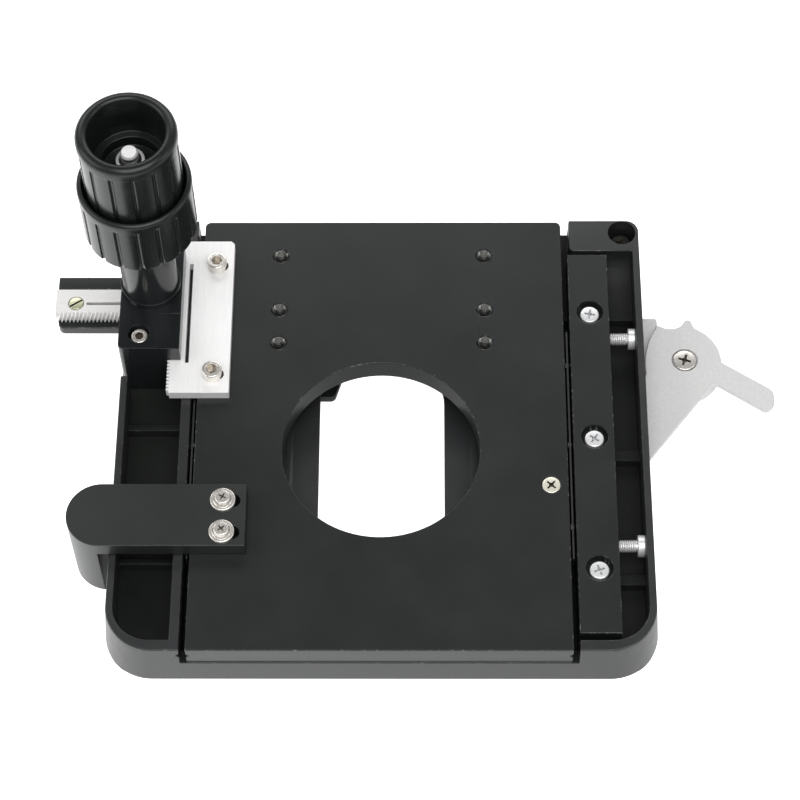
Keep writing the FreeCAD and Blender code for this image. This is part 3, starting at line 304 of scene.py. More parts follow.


def skin(name, look):
    look = {**plainLook, **look}
    made = bpy.data.materials.new(name)
    made.use_nodes = True
    tree = made.node_tree
    shader = tree.nodes["Principled BSDF"]
    shader.inputs["Metallic"].default_value = look["metal"]
    shader.inputs["Specular IOR Level"].default_value = look["specular"]
    patches = useGroup(tree, "mottle", Scale=look["patch"], Contrast=look["contrast"])
    colour = blendColours(tree, patches.outputs["Mask"], look["tone"], look["shade"])
    if "stretch" in look:
        lines = useGroup(tree, "streaks", Stretch=look["stretch"], Strength=look["strength"],
                         Distance=look["depth"] * mm)
        colour = blendColours(tree, lines.outputs["Mask"], colour, look["line"])
        mask, normal = lines.outputs["Mask"], lines.outputs["Normal"]
    else:
        grain = useGroup(tree, "relief", Scale=look["grain"], Strength=look["strength"],
                         Distance=look["depth"] * mm)
        mask, normal = patches.outputs["Mask"], grain.outputs["Normal"]
    if "worn" in look:
        specks = useGroup(tree, "rubbed", Scale=look["speck"], Amount=look["wear"])
        colour = blendColours(tree, specks.outputs["Mask"], colour, look["worn"])
    rough = node(tree, "MapRange", {"Value": mask, "To Min": look["rough"][0], "To Max": look["rough"][1]})
    if "floor" in look:  # painted shade: a darker colour on the deep pocket floors, which are also rougher and less glossy
        deep = useGroup(tree, "hollow", Level=deepFloor["level"], Side=deepFloor["side"])
        colour = blendColours(tree, deep.outputs["Mask"], colour, look["floor"])
        gloss = node(tree, "MapRange", {"Value": deep.outputs["Mask"], "To Min": look["specular"],
                                        "To Max": deepFloor["specular"]})
        tree.links.new(gloss.outputs[0], shader.inputs["Specular IOR Level"])
        rough = node(tree, "MapRange", {"Value": deep.outputs["Mask"], "To Min": rough.outputs[0],
                                        "To Max": look["floorRough"]})
    tree.links.new(colour, shader.inputs["Base Color"])
    tree.links.new(rough.outputs[0], shader.inputs["Roughness"])
    tree.links.new(normal, shader.inputs["Normal"])
    return made


looks = {
    "black_casting": {"tone": (0.0125, 0.0132, 0.0138), "shade": (0.0185, 0.0195, 0.0200), "patch": 90.0,
                      "rough": (0.30, 0.40), "grain": 900.0, "strength": 0.22, "depth": 0.035,
                      "worn": (0.20, 0.20, 0.20), "wear": 0.3, "speck": 700.0,
                      # floor: painted shade, darker on the deep pocket floors
                      "floor": (0.0066, 0.0082, 0.0068), "floorRough": 0.60},
    "black_plate": {"tone": (0.0103, 0.0120, 0.0120), "shade": (0.0145, 0.0162, 0.0162), "patch": 60.0,
                    "rough": (0.28, 0.36), "grain": 2600.0, "strength": 0.16, "depth": 0.018,
                    "worn": (0.32, 0.32, 0.32), "wear": 0.55, "speck": 800.0, "specular": 0.37},
    "black_arm": {"tone": (0.0160, 0.0178, 0.0172), "shade": (0.0200, 0.0218, 0.0212), "patch": 60.0,
                  "rough": (0.32, 0.40), "grain": 2600.0, "strength": 0.16, "depth": 0.018,
                  "worn": (0.20, 0.20, 0.20), "wear": 0.15, "speck": 800.0, "specular": 0.42},
    "black_housing": {"tone": (0.0085, 0.0100, 0.0106), "shade": (0.0115, 0.0130, 0.0138), "patch": 120.0,
                      "rough": (0.16, 0.22), "grain": 1300.0, "strength": 0.12, "depth": 0.02,
                      "worn": (0.12, 0.12, 0.12), "wear": 0.2, "specular": 0.34},
    "knob_black": {"tone": (0.0070, 0.0092, 0.0083), "shade": (0.0095, 0.0118, 0.0110), "patch": 150.0,
                   "rough": (0.22, 0.30), "grain": 2200.0, "strength": 0.10, "depth": 0.015,
                   "specular": 0.32},
    "nickel_rack": {"tone": (0.90, 0.895, 0.885), "shade": (0.85, 0.845, 0.84), "line": (0.78, 0.775, 0.77),
                    "patch": 120.0, "metal": 0.2, "rough": (0.34, 0.48), "stretch": (5200.0, 160.0, 900.0),
                    "strength": 0.2, "depth": 0.012},
    "cross_rack": {"tone": (0.84, 0.83, 0.82), "shade": (0.79, 0.78, 0.77), "line": (0.70, 0.69, 0.68),
                   "patch": 120.0, "metal": 0.25, "rough": (0.34, 0.48), "stretch": (160.0, 5200.0, 900.0),
                   "strength": 0.2, "depth": 0.012},
    "bright_aluminium": {"tone": (0.65, 0.65, 0.645), "shade": (0.60, 0.60, 0.595),
                         "line": (0.56, 0.56, 0.555), "patch": 80.0, "metal": 0.3, "rough": (0.42, 0.52),
                         "stretch": (1500.0, 1500.0, 600.0), "strength": 0.12, "depth": 0.012},
    "bright_screw": {"tone": (0.86, 0.83, 0.78), "shade": (0.68, 0.65, 0.60), "patch": 900.0, "metal": 0.75,
                     "rough": (0.18, 0.30), "grain": 3000.0, "strength": 0.15, "depth": 0.012},
    "white_zinc": {"tone": (0.84, 0.84, 0.84), "shade": (0.68, 0.68, 0.68), "patch": 900.0, "metal": 0.5,
                   "rough": (0.25, 0.38), "grain": 3000.0, "strength": 0.15, "depth": 0.012},
    "dark_screw": {"tone": (0.10, 0.10, 0.085), "shade": (0.05, 0.05, 0.045), "patch": 900.0, "metal": 0.8,
                   "rough": (0.25, 0.4), "grain": 3000.0, "strength": 0.15, "depth": 0.012},
    "pale_zinc": {"tone": (0.92, 0.90, 0.76), "shade": (0.74, 0.72, 0.60), "patch": 1100.0, "metal": 0.6,
                  "rough": (0.22, 0.36), "grain": 3000.0, "strength": 0.15, "depth": 0.012},
    "yellow_zinc": {"tone": (0.74, 0.74, 0.52), "shade": (0.58, 0.60, 0.42), "patch": 1100.0, "metal": 0.8,
                    "rough": (0.22, 0.36), "grain": 3000.0, "strength": 0.15, "depth": 0.012},
    # recess looks: darker than the screw heads, as painted shade in the drive recesses; the warm one also has
    # a brownish tint
    "shaded_recess": {"tone": (0.20, 0.16, 0.13), "shade": (0.08, 0.065, 0.055), "patch": 1500.0, "metal": 0.85,
                    "rough": (0.35, 0.5), "grain": 3000.0, "strength": 0.15, "depth": 0.012},
    "warm_shaded_recess": {"tone": (0.72, 0.66, 0.58), "shade": (0.26, 0.23, 0.20), "patch": 1800.0, "metal": 0.75,
                    "rough": (0.16, 0.30), "grain": 3000.0, "strength": 0.15, "depth": 0.012},
    "white_shaded_recess": {"tone": (0.80, 0.81, 0.82), "shade": (0.52, 0.53, 0.54), "patch": 1500.0, "metal": 0.6,
                     "rough": (0.25, 0.4), "grain": 3000.0, "strength": 0.15, "depth": 0.012},
    "cut_thread": {"tone": (0.34, 0.34, 0.32), "shade": (0.12, 0.12, 0.11), "patch": 1500.0, "metal": 0.9,
                   "rough": (0.16, 0.3), "grain": 3000.0, "strength": 0.15, "depth": 0.012},
    # ground steel is nearly white, a painted highlight on the shaft top
    "ground_steel": {"tone": (0.93, 0.93, 0.92), "shade": (0.88, 0.88, 0.87), "line": (0.84, 0.84, 0.83),
                     "patch": 300.0, "metal": 0.3, "rough": (0.30, 0.42), "stretch": (300.0, 300.0, 5200.0),
                     "strength": 0.15, "depth": 0.01},
    # a darker steel for the shaft's sides: painted shade
    "shaded_steel": {"tone": (0.30, 0.30, 0.30), "shade": (0.22, 0.22, 0.22), "line": (0.16, 0.16, 0.16),
                     "patch": 300.0, "metal": 1.0, "rough": (0.22, 0.34), "stretch": (300.0, 300.0, 5200.0),
                     "strength": 0.15, "depth": 0.01},
    "ball_steel": {"tone": (0.78, 0.78, 0.79), "shade": (0.70, 0.70, 0.71), "patch": 500.0, "metal": 1.0,
                   "rough": (0.07, 0.14), "grain": 2500.0, "strength": 0.05, "depth": 0.005},
    "cage_black": {"tone": (0.012, 0.012, 0.012), "shade": (0.008, 0.008, 0.008), "line": (0.02, 0.02, 0.02),
                   "patch": 300.0, "rough": (0.45, 0.6), "stretch": (900.0, 120.0, 3800.0),
                   "strength": 0.15, "depth": 0.01},
    "spring_steel": {"tone": (0.42, 0.42, 0.44), "shade": (0.28, 0.28, 0.30), "patch": 700.0, "metal": 1.0,
                     "rough": (0.25, 0.4), "grain": 3000.0, "strength": 0.1, "depth": 0.01},
}
skins = {name: skin(name.replace("_", " "), look) for name, look in looks.items()}
print("materials made:", len(skins))


# mesh tools
creases = {"machined": 38, "knob": 44, "screw": 32, "thread": 30}  # degrees; sharper bends stay crisp
evenWeight = 80  # how much a large face decides the shading round it


def addPiece(name, mesh, like, skinNames=None, kind="machined"):
    piece = bpy.data.objects.new(name, mesh)
    studio.collection.objects.link(piece)
    for skinName in skinNames or (slotOf[like],):
        mesh.materials.append(skins[skinName])
    mesh.shade_smooth()
    mesh.set_sharp_from_angle(angle=math.radians(creases[kind]))
    even = piece.modifiers.new("evenShading", "WEIGHTED_NORMAL")
    even.keep_sharp, even.weight = True, evenWeight
    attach(piece, parts[like]["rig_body"])
    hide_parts(like)


def meshOf(bm, name):
    data = bpy.data.meshes.new(name)
    bm.to_mesh(data)
    bm.free()
    return data


def reachFrom(edge, face):  # how far a face goes from one of its edges
    start = edge.verts[0].co
    along = (edge.verts[1].co - start).normalized()
    return max(((vert.co - start) - along * (vert.co - start).dot(along)).length for vert in face.verts)


# which edges a pass softens, by the middle of the edge in millimetres
rimReach = 0.1


def rims(places, radius):  # edges of round holes
    return lambda spot: any(abs(math.hypot(spot.x - x, spot.y - y) - radius) < rimReach for x, y in places)


def under(level):
    return lambda spot: spot.z < level


def over(level):
    return lambda spot: spot.z > level


frontWall = {"ends": (-43.7, 43.7), "face": -50, "steep": -0.9, "behind": -45, "band": (-6.5, -5.8),
             "top": -6.04}


def sill(spot):  # top of the low front wall, under the edge of the plate
    low, high = frontWall["band"]
    return spot.y < frontWall["behind"] and low < spot.z < high


def fitFrontWall(bm):  # a fine gap under the plate, and a line at each end where its soft edge stops
    for x in frontWall["ends"]:
        faces = [face for face in bm.faces
                 if face.normal.y < frontWall["steep"]
                 and face.calc_center_median().y < frontWall["face"] * mm]
        around = [thing for face in faces for thing in (*face.edges, *face.verts)]
        bmesh.ops.bisect_plane(bm, geom=list(dict.fromkeys(faces + around)), dist=weld,
                               plane_co=(x * mm, 0, 0), plane_no=(1, 0, 0))
    for vert in bm.verts:
        if sill(vert.co / mm):
            vert.co.z = frontWall["top"] * mm


edgeRules = {"flat": 0.5, "sharp": 25, "room": 1.6}  # degrees, degrees, and widths of face beside an edge


def softened(label, passes):
    bm = bmesh.new()
    bm.from_mesh(parts[label].data)
    bmesh.ops.remove_doubles(bm, verts=bm.verts, dist=weld)
    bmesh.ops.dissolve_limit(bm, angle_limit=math.radians(edgeRules["flat"]), verts=bm.verts, edges=bm.edges)
    if label == "stage_casting":
        fitFrontWall(bm)
    rub = bm.faces.layers.float.new("rub")
    for soften, steps, pick in passes:
        width = soften * mm
        edges = [edge for edge in bm.edges
                 if len(edge.link_faces) == 2
                 and edge.calc_face_angle_signed(0) > math.radians(edgeRules["sharp"])
                 and min(reachFrom(edge, face) for face in edge.link_faces) > edgeRules["room"] * width
                 and not any(face[rub] for face in edge.link_faces)
                 and (pick is None or pick((edge.verts[0].co + edge.verts[1].co) / 2 / mm))]
        made = bmesh.ops.bevel(bm, geom=edges, offset=width, offset_type="OFFSET", segments=steps,
                               profile=0.5, affect="EDGES", clamp_overlap=False)
        for face in made["faces"]:
            face[rub] = 1.0
    low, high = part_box(label)
    for vert in bm.verts:  # a sharp corner can run out a little, so it is brought back
        vert.co = [min(max(value, least), most) for value, least, most in zip(vert.co, low, high)]
    return meshOf(bm, label)


def lathe(profile, steps=64):
    bm = bmesh.new()
    rings = []
    for radius, height in profile:
        count = steps if radius > 0 else 1
        rings.append([bm.verts.new((radius * mm * math.cos(turn * i / steps),
                                    radius * mm * math.sin(turn * i / steps), height * mm))
                      for i in range(count)])
    for low, high in zip(rings, rings[1:]):
        for i in range(steps):
            corners = [low[i % len(low)], low[(i + 1) % len(low)], high[(i + 1) % len(high)],
                       high[i % len(high)]]
            unique = list(dict.fromkeys(corners))
            if len(unique) > 2:
                bm.faces.new(unique)
    bmesh.ops.recalc_face_normals(bm, faces=bm.faces)
    return bm


def rounded(corners, steps=4):  # a profile whose corners (radius, height, rounding) are arcs
    points = []
    for i, (x, y, bend) in enumerate(corners):
        here = Vector((x, y))
        if not bend or i in (0, len(corners) - 1):
            points.append((x, y))
            continue
        before = (Vector(corners[i - 1][:2]) - here).normalized()
        after = (Vector(corners[i + 1][:2]) - here).normalized()
        half = before.angle(after) / 2
        reach = bend / math.tan(half)
        middle = here + (before + after).normalized() * (bend / math.sin(half))
        first, last = here + before * reach - middle, here + after * reach - middle
        for step in range(steps + 1):
            share = step / steps
            arm = first.normalized().slerp(last.normalized(), share) * bend
            points.append(tuple(middle + arm))
    return points


def star(outline, top, foot, shrink):  # a cutter that narrows downwards
    bm = bmesh.new()
    high = [bm.verts.new((x * mm, y * mm, top * mm)) for x, y in outline]
    low = [bm.verts.new((x * shrink * mm, y * shrink * mm, foot * mm)) for x, y in outline]
    bm.faces.new(high)
    bm.faces.new(reversed(low))
    for i in range(len(outline)):
        after = (i + 1) % len(outline)
        bm.faces.new((high[i], low[i], low[after], high[after]))
    # the cut faces take the second slot: the recess look, darker as painted shade
    for face in bm.faces:
        face.material_index = 1
    bmesh.ops.recalc_face_normals(bm, faces=bm.faces)
    return bm


def cross(reach, width):
    half = width / 2
    arm = [(half, half), (half, reach), (-half, reach)]
    return [(x * c - y * s, x * s + y * c) for c, s in ((1, 0), (0, 1), (-1, 0), (0, -1)) for x, y in arm]


def ring(radius, count, phase=0.0):
    return [(radius * math.cos(turn * i / count + phase), radius * math.sin(turn * i / count + phase))
            for i in range(count)]


def blank(bm, name):  # a loose object with two empty material slots
    thing = bpy.data.objects.new(name, meshOf(bm, name))
    thing.data.materials.append(None)
    thing.data.materials.append(None)
    studio.collection.objects.link(thing)
    return thing


def carve(base, *cutters):
    solid = blank(base, "solid")
    tools = []
    for cutter in cutters:
        tool = blank(cutter, "cutter")
        cut = solid.modifiers.new("cut", "BOOLEAN")
        cut.object, cut.operation, cut.solver = tool, "DIFFERENCE", "EXACT"
        tools.append(tool)
    bpy.context.view_layer.update()
    shaped = bpy.data.meshes.new_from_object(solid.evaluated_get(bpy.context.evaluated_depsgraph_get()))
    for thing in (solid, *tools):
        bpy.data.objects.remove(thing)
    bm = bmesh.new()
    bm.from_mesh(shaped)
    bpy.data.meshes.remove(shaped)
    return bm


threadShares = (0.0, 0.38, 0.55, 0.93)  # along the pitch: foot, crest, crest, foot


def thread(bm, core, crest, pitch, low, high, around=20):
    count = int((high - low) / pitch * around)
    section = list(zip((core, crest, crest, core), threadShares))
    rows = []
    for i in range(count + 1):
        angle, base = turn * i / around, low + pitch * i / around
        rows.append([bm.verts.new((radius * mm * math.cos(angle), radius * mm * math.sin(angle),
                                   (base + share * pitch) * mm)) for radius, share in section])
    for here, after in zip(rows, rows[1:]):
        for i in range(3):
            bm.faces.new((here[i], after[i], after[i + 1], here[i + 1]))


def spread(fastener, places):  # one mesh from copies of a fastener
    bm = bmesh.new()
    for place in places:
        copy = fastener.copy()
        copy.transform(place)
        bm.from_mesh(copy)
        bpy.data.meshes.remove(copy)
    return bm


def at(x, y, z, spin=0.0, tilt=None):
    lie = Matrix.Rotation(math.radians(tilt[1]), 4, tilt[0]) if tilt else Matrix.Identity(4)
    return Matrix.Translation(Vector((x, y, z)) * mm) @ lie @ Matrix.Rotation(math.radians(spin), 4, "Z")


def copies(label):  # middle of each loose solid of a CAD node, in millimetres
    bm = bmesh.new()
    bm.from_mesh(parts[label].data)
    bmesh.ops.remove_doubles(bm, verts=bm.verts, dist=weld)
    left, found = set(bm.verts), []
    while left:
        pile, seen = [left.pop()], []
        while pile:
            vert = pile.pop()
            seen.append(vert.co.copy())
            for edge in vert.link_edges:
                other = edge.other_vert(vert)
                if other in left:
                    left.discard(other)
                    pile.append(other)
        low = Vector(min(point[axis] for point in seen) for axis in range(3))
        high = Vector(max(point[axis] for point in seen) for axis in range(3))
        found.append(((low + high) / 2 / mm, low / mm, high / mm))
    bm.free()
    return sorted(found, key=lambda item: (round(item[0].y, 1), round(item[0].x, 1)))


def spots(label):
    return [(middle.x, middle.y) for middle, _, _ in copies(label)]


# plates, casting and other machined pieces
plateHoles = [(side * 24.0, row) for side in (-1, 1) for row in (52.0, 37.0, 28.0)]
softEdges = {  # width of the softened edge in millimetres, its steps, and which edges
    "base_plate": [(0.42, 1, rims(plateHoles, 1.65)), (0.08, 1, under(-5.9)), (0.22, 2, None)],
    "stage_casting": [(0.12, 2, rims(spots("rail_end_screws"), 3.25)), (0.24, 3, sill), (0.28, 2, None)],
    "drive_housing": [(0.08, 1, rims(spots("housing_screws"), 2.5)), (0.12, 2, None)],
    "gib_strip": [(0.12, 1, rims(spots("gib_screws"), 3.1)), (0.24, 2, None)],
    "index_arm": [(0.20, 2, None)], "x_carriage_bar": [(0.28, 2, None)], "x_guide_rail": [(0.25, 2, None)],
    "y_rack": [(0.10, 2, None)], "x_rack": [(0.07, 1, None)], "spring_finger": [(0.22, 2, None)],
    "finger_bracket": [(0.25, 2, None)], "fixed_jaw": [(0.25, 2, None)],
    "x_pinion_shaft": [(0.5, 3, over(55)), (0.06, 1, None)], "y_pinion_shaft": [(0.06, 1, None)],
}
dressLooks = {"x_rack": "cross_rack", "index_arm": "black_arm"}
sideLooks = {"x_pinion_shaft": "shaded_steel"}  # painted shade: a darker metal on all that doesn't face up, while the bright top is a painted highlight
facingUp = 0.3  # least upward share of such a face's normal
for label, passes in softEdges.items():
    mesh = softened(label, passes)
    finishes = [dressLooks.get(label, slotOf[label])]
    if label in sideLooks:
        finishes.append(sideLooks[label])
        for face in mesh.polygons:
            face.material_index = int(face.normal.z < facingUp)
    addPiece(f"{label}_dressed", mesh, label, skinNames=finishes)
print("machined pieces softened:", len(softEdges))

for label in ("ball_cage_left", "ball_cage_right", "guide_balls_left", "guide_balls_right", "finger_spring"):
    for place in parts[label].material_slots:
        place.material = skins[slotOf[label]]


# fluted knobs
bigKnob = {"flutes": 17, "phase": -85.1, "wide": 0.62, "deep": 0.42, "crown": 0.10, "end": 47.7,
           "profile": [(3.5, 33.0, 0), (12.65, 33.0, 0.7), (12.65, 50.0, 0.9), (11.4, 50.0, 0.3),
                       (11.4, 43.5, 0.4), (3.5, 43.5, 0)]}
endKnob = {"flutes": 14, "phase": -80.6, "wide": 0.62, "deep": 0.42, "crown": 0.10, "end": 64.9,
           "profile": [(2.0, 44.2, 0), (10.8, 44.2, 0.6), (10.8, 64.5, 0.1), (11.0, 64.9, 0.1),
                       (11.0, 68.0, 1.5), (8.3, 68.0, 0.95), (8.3, 56.8, 0.2), (6.6, 56.8, 0.2),
                       (6.6, 54.0, 0.3), (3.4, 54.0, 0.2), (3.4, 57.0, 0.25), (2.0, 57.0, 0)]}
grooveShares = (-1.15, -1, -0.8, -0.5, -0.2, 0, 0.2, 0.5, 0.8, 1, 1.15)  # across a groove
landSteps = 9  # between two grooves
grip = {"rings": 40, "depth": 0.4, "tall": 5, "fade": 0.8, "inward": 1.3}  # rings, and where grooves run out


def fluteAngles(look, radius):  # angles round a knob, and how far each is from a groove
    pitch = turn / look["flutes"]
    groove = look["wide"] / radius
    past = grooveShares[-1] * groove
    angles = [groove * share for share in grooveShares]
    angles += [past + (pitch - 2 * past) * i / landSteps for i in range(1, landSteps)]
    for flute in range(look["flutes"]):
        for angle in angles:
            aside = min(abs(angle), pitch - angle) * radius
            yield math.radians(look["phase"]) + flute * pitch + angle, aside, aside / (pitch * radius / 2)


def knob(name, label, look):
    axis = (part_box(label)[0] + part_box(label)[1]) / 2
    points = rounded(look["profile"], 5)
    widest = max(radius for radius, _ in points)
    dense = []
    for (r0, z0), (r1, z1) in zip(points, points[1:]):  # more rings along the grip
        gripping = min(r0, r1) > widest - grip["depth"] and abs(z1 - z0) > grip["tall"]
        count = grip["rings"] if gripping else 1
        dense += [(r0 + (r1 - r0) * i / count, z0 + (z1 - z0) * i / count) for i in range(count)]
    dense.append(points[-1])
    turns = list(fluteAngles(look, widest))
    bm = bmesh.new()
    rings = []
    for radius, height in dense:
        upward = min(1.0, max(0.0, (look["end"] - height) / grip["fade"]))
        runout = upward * min(1.0, max(0.0, radius - widest + grip["inward"]))
        runout = runout * runout * (3 - 2 * runout)
        row = []
        for angle, aside, share in turns:
            groove = math.sqrt(max(0.0, 1 - (aside / look["wide"]) ** 2)) * look["deep"]
            reach = radius - runout * (groove + look["crown"] * (1 - share) ** 2)
            row.append(bm.verts.new((axis.x + reach * mm * math.cos(angle),
                                     axis.y + reach * mm * math.sin(angle), height * mm)))
        rings.append(row)
    for low, high in zip(rings, rings[1:]):
        for i in range(len(turns)):
            after = (i + 1) % len(turns)
            bm.faces.new((low[i], low[after], high[after], high[i]))
    bmesh.ops.recalc_face_normals(bm, faces=bm.faces)
    addPiece(name, meshOf(bm, name), label, kind="knob")


# retaining ring: a bright band round a sunken seat painted black as shade
retainer = {"bore": 2.0, "band": 2.45, "outer": 3.15, "low": 57.0, "seat": 57.2, "high": 57.7}


def addRetainer():
    axis = (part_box("retaining_ring")[0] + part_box("retaining_ring")[1]) / 2
    bore, band, outer, low, seat, high = retainer.values()
    bm = lathe(rounded([(bore, low, 0), (outer, low, 0.08), (outer, high, 0.14), (band, high, 0.14),
                        (band, seat, 0), (bore, seat, 0), (bore, low, 0)]))
    bmesh.ops.remove_doubles(bm, verts=bm.verts, dist=weld)
    bmesh.ops.recalc_face_normals(bm, faces=bm.faces)
    for face in bm.faces:
        spot = face.calc_center_median()
        # the inner seat takes the black cage look as painted shade
        face.material_index = int(math.hypot(spot.x, spot.y) < (band - 0.01) * mm)
    bmesh.ops.translate(bm, verts=bm.verts, vec=(axis.x, axis.y, 0))
    addPiece("retaining_ring_dressed", meshOf(bm, "retaining_ring"), "retaining_ring",
             skinNames=("white_zinc", "cage_black"))


addRetainer()
knob("large_knob_fluted", "large_knob", bigKnob)
knob("small_knob_fluted", "small_knob", endKnob)
print("knobs turned")


# fasteners
rackCap = {"head": 2.25, "rise": 2.5, "shank": 1.22, "length": 7.5, "key": 1.3, "deep": 1.5}
housingCap = {"head": 1.9, "rise": 2.0, "shank": 0.93, "length": 17.2, "key": 1.05, "deep": 1.2}
armPan = {"head": 2.85, "rise": 1.9, "shank": 1.42, "length": 8.4, "flange": 0.7, "dome": 2.0, "reach": 0.95}
gibPan = {"head": 2.2, "rise": 1.6, "shank": 1.12, "length": 9.2, "reach": 1.3, "flat": 0.35}
endPan = {"head": 2.6, "rise": 1.8, "shank": 1.42, "length": 7.6, "reach": 1.45, "flat": 0.45}
holderPan = {"head": 2.1, "rise": 1.6, "shank": 1.12, "length": 4.2, "reach": 1.25, "flat": 0.4}
railPan = {"head": 2.1, "rise": 1.6, "shank": 1.12, "length": 6.4, "reach": 1.25, "flat": 0.4}
pivotPan = {"head": 2.75, "rise": 1.2, "shank": 1.18, "length": 5.0, "reach": 1.6, "flat": 0.3}
stopFlat = {"head": 2.05, "rise": 1.05, "shank": 1.18, "length": 3.8, "reach": 1.3}
slotFlat = {"head": 1.72, "rise": 0.9, "shank": 1.22, "length": 3.6, "slot": 0.5, "deep": 0.4}
jackPan = {"head": 2.5, "rise": 1.7, "core": 1.18, "crest": 1.45, "pitch": 0.5, "length": 8.2, "reach": 1.4}


clear = 0.1  # how far a cutter stands above the face that it cuts
wings = {"width": 0.36, "foot": 0.62, "middle": 0.44, "middleFoot": 0.5, "deeper": 0.05}
socket = {"mouth": 1.2, "bevel": 1.12, "sink": 0.1, "foot": 0.97, "phase": 0.3}


def below(size):  # shank and underside of a screw, from its tip to the edge of its head
    return [(0, -size["length"], 0), (size["shank"], -size["length"], 0.2), (size["shank"], 0, 0),
            (size["head"], 0, 0.12)]


def driveCross(reach, top, foot):  # a cross recess: four wings and a deeper middle
    return (star(cross(reach, reach * wings["width"]), top + clear, foot, wings["foot"]),
            star(ring(reach * wings["middle"], 12), top + clear, foot - wings["deeper"], wings["middleFoot"]))


def capScrew(size):
    top = size["rise"]
    floor = top - socket["sink"]
    shape = below(size) + [(size["head"], top, 0.28), (size["key"] * socket["mouth"], top, 0.04),
                           (size["key"] * socket["bevel"], floor, 0), (0, floor, 0)]
    key = star(ring(size["key"], 6, socket["phase"]), top + clear, top - size["deep"], socket["foot"])
    return meshOf(carve(lathe(rounded(shape)), key), "capScrew")


def panScrew(size):
    top = size["rise"]
    shape = below(size)
    if "flange" in size:  # a low collar round a raised middle
        shape += [(size["head"], size["flange"], 0.25), (size["dome"] + 0.12, size["flange"] - 0.05, 0.1),
                  (size["dome"], size["flange"] + 0.5, 0.2), (size["dome"] * 0.82, top, 0.3), (0, top, 0)]
    else:
        shape += [(size["head"], top, size["flat"]), (0, top, 0)]
    return meshOf(carve(lathe(rounded(shape)), *driveCross(size["reach"], top, top * 0.35)), "panScrew")


def flatScrew(size):
    top = size["rise"]
    shape = below(size) + [(size["head"], top, 0.18), (0, top, 0)]
    if "slot" in size:
        half = size["slot"] / 2
        long = size["head"] + 1
        cutters = [star([(-long, -half), (long, -half), (long, half), (-long, half)], top + 3 * clear,
                        top - size["deep"], 1.0)]
    else:
        cutters = driveCross(size["reach"], top, top * 0.3)
    return meshOf(carve(lathe(rounded(shape)), *cutters), "flatScrew")


def jackScrew(size):
    shape = [(0, 0, 0), (size["head"], 0, 0.15), (size["head"], size["rise"], 0.3), (0, size["rise"], 0)]
    bm = carve(lathe(rounded(shape), 40), *driveCross(size["reach"], size["rise"], size["rise"] * 0.4))
    thread(bm, size["core"], size["crest"], size["pitch"], -size["length"], -0.45)
    neck = lathe([(size["core"], -0.5), (size["core"], 0.0)], 20)
    loose = meshOf(neck, "neck")
    bm.from_mesh(loose)
    bpy.data.meshes.remove(loose)
    return meshOf(bm, "jackScrew")


def fasten(name, label, shape, size, spins, tilt=None, head=None, recess="shaded_recess"):
    places = []
    for (middle, low, high), spin in zip(copies(label), spins):
        if tilt is None:
            places.append(at(middle.x, middle.y, high.z - size["rise"], spin))
        elif tilt[0] == "X":
            places.append(at(middle.x, middle.y, low.z + size["rise"], spin, tilt))
        else:
            places.append(at(high.x - size["rise"], middle.y, middle.z, spin, tilt))
    made = meshOf(spread(shape(size), places), name)
    addPiece(name, made, label, skinNames=(head or slotOf[label], recess), kind="screw")


fasten("rack_cap_screws", "y_rack_screws", capScrew, rackCap, (12, 40), recess="warm_shaded_recess")
fasten("housing_cap_screws", "housing_screws", capScrew, housingCap, (25, 5))
fasten("arm_pan_screws", "index_arm_screws", panScrew, armPan, (38, 62), recess="warm_shaded_recess")
fasten("gib_pan_screws", "gib_screws", panScrew, gibPan, (20, 55, 80), head="white_zinc",
       recess="white_shaded_recess")
fasten("rail_end_pan_screws", "rail_end_screws", panScrew, endPan, (30, 62), head="dark_screw")
fasten("rail_pan_screws", "x_guide_rail_screws", panScrew, railPan, (15, 70), ("X", 180))
fasten("holder_pan_screws", "holder_screws", panScrew, holderPan, (10, 35, 60, 85), ("X", 180))
fasten("pivot_pan_screw", "pivot_screw", panScrew, pivotPan, (72,))
fasten("stop_flat_screw", "stop_screw", flatScrew, stopFlat, (48,), head="pale_zinc")
fasten("rack_slot_screws", "x_rack_screws", flatScrew, slotFlat, (33, 70, 120))
fasten("jack_pan_screws", "gib_adjusting_screws", jackScrew, jackPan, (20, 65), ("Y", 90), head="white_zinc")
print("fasteners made")


# threads of the six tapped holes
holeThread = {"bore": 1.66, "ridge": 1.38, "pitch": 0.7, "low": -5.9, "high": -0.55}


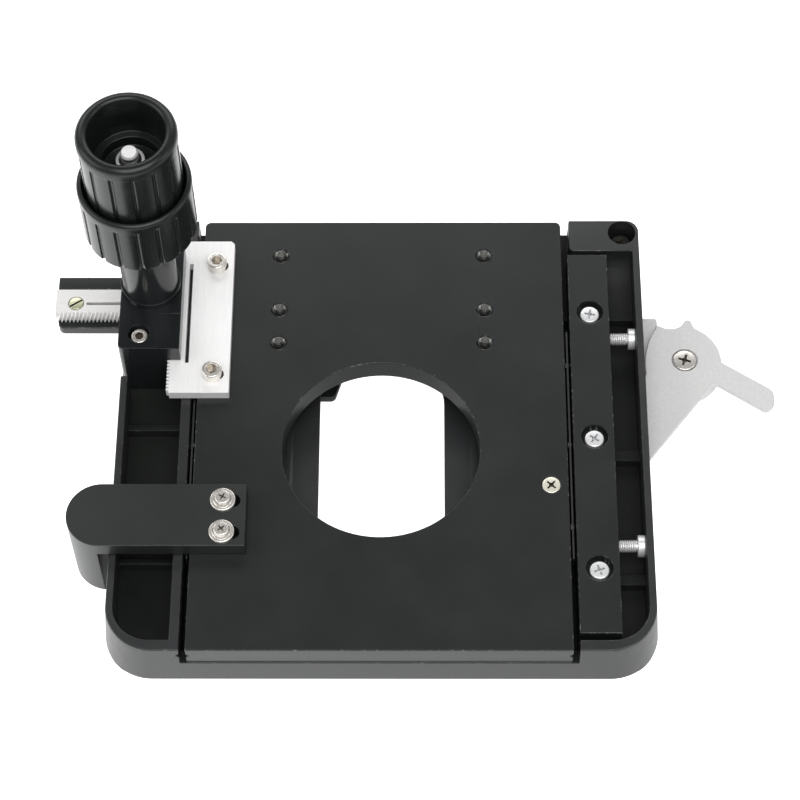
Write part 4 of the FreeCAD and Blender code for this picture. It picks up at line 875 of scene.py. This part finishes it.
def addHoleThreads():
    bm = bmesh.new()
    thread(bm, holeThread["bore"], holeThread["ridge"], holeThread["pitch"], holeThread["low"],
           holeThread["high"])
    single = meshOf(bm, "holeThread")
    made = meshOf(spread(single, [at(x, y, 0) for x, y in plateHoles]), "tapped_hole_threads")
    piece = bpy.data.objects.new("tapped_hole_threads", made)
    studio.collection.objects.link(piece)
    made.materials.append(skins["cut_thread"])
    made.shade_smooth()
    made.set_sharp_from_angle(angle=math.radians(creases["thread"]))
    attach(piece, parts["base_plate"]["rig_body"])


addHoleThreads()


# table: its glow is painted light, with a painted shadow under the stage
def addTable():
    bm = bmesh.new()
    bmesh.ops.create_grid(bm, x_segments=8, y_segments=8, size=tableTop["reach"] / 2)
    bmesh.ops.translate(bm, verts=bm.verts, vec=(0, 0, cadLow.z))
    top = bpy.data.objects.new("tableTop", meshOf(bm, "tableTop"))
    studio.collection.objects.link(top)
    made = bpy.data.materials.new("pale table")
    made.use_nodes = True
    tree = made.node_tree
    shader = tree.nodes["Principled BSDF"]
    patches = useGroup(tree, "mottle", Scale=tableTop["patch"], Contrast=tableTop["contrast"])
    colour = blendColours(tree, patches.outputs["Mask"], tableTop["tone"],
                          tuple(value * tableTop["patchTone"] for value in tableTop["tone"]))
    place = node(tree, "TexCoord")
    split = node(tree, "SeparateXYZ", {0: place.outputs["Object"]})
    # painted light: the table glows more on the left
    paintedGlow = node(tree, "MapRange", {"Value": split.outputs["X"], "From Min": tableTop["span"][0],
                                   "From Max": tableTop["span"][1], "To Min": tableTop["paintedGlow"][0],
                                   "To Max": tableTop["paintedGlow"][1]})
    inside = useGroup(tree, "footprint", Middle=tableTop["middle"], Half=tableTop["half"],
                      Round=tableTop["round"])
    # painted shadow: the glow drops inside the stage's footprint
    dim = node(tree, "MapRange", {"Value": inside.outputs["Mask"], "To Min": paintedGlow.outputs[0],
                                  "To Max": tableTop["shade"]})
    rays = node(tree, "LightPath")
    power = node(tree, "MapRange", {"Value": rays.outputs["Is Camera Ray"], "To Min": dim.outputs[0],
                                    "To Max": tableTop["seen"]})
    light = node(tree, "CombineColor", {0: power.outputs[0], 1: power.outputs[0], 2: power.outputs[0]})
    tree.links.new(colour, shader.inputs["Base Color"])
    tree.links.new(light.outputs[0], shader.inputs["Emission Color"])
    shader.inputs["Emission Strength"].default_value = 1.0
    shader.inputs["Roughness"].default_value = tableTop["rough"]
    facing = node(tree, "NewGeometry")  # clear from below
    solid = node(tree, "Math", {0: 1.0, 1: facing.outputs["Backfacing"]}, operation="SUBTRACT")
    tree.links.new(solid.outputs[0], shader.inputs["Alpha"])
    top.data.materials.append(made)


addTable()
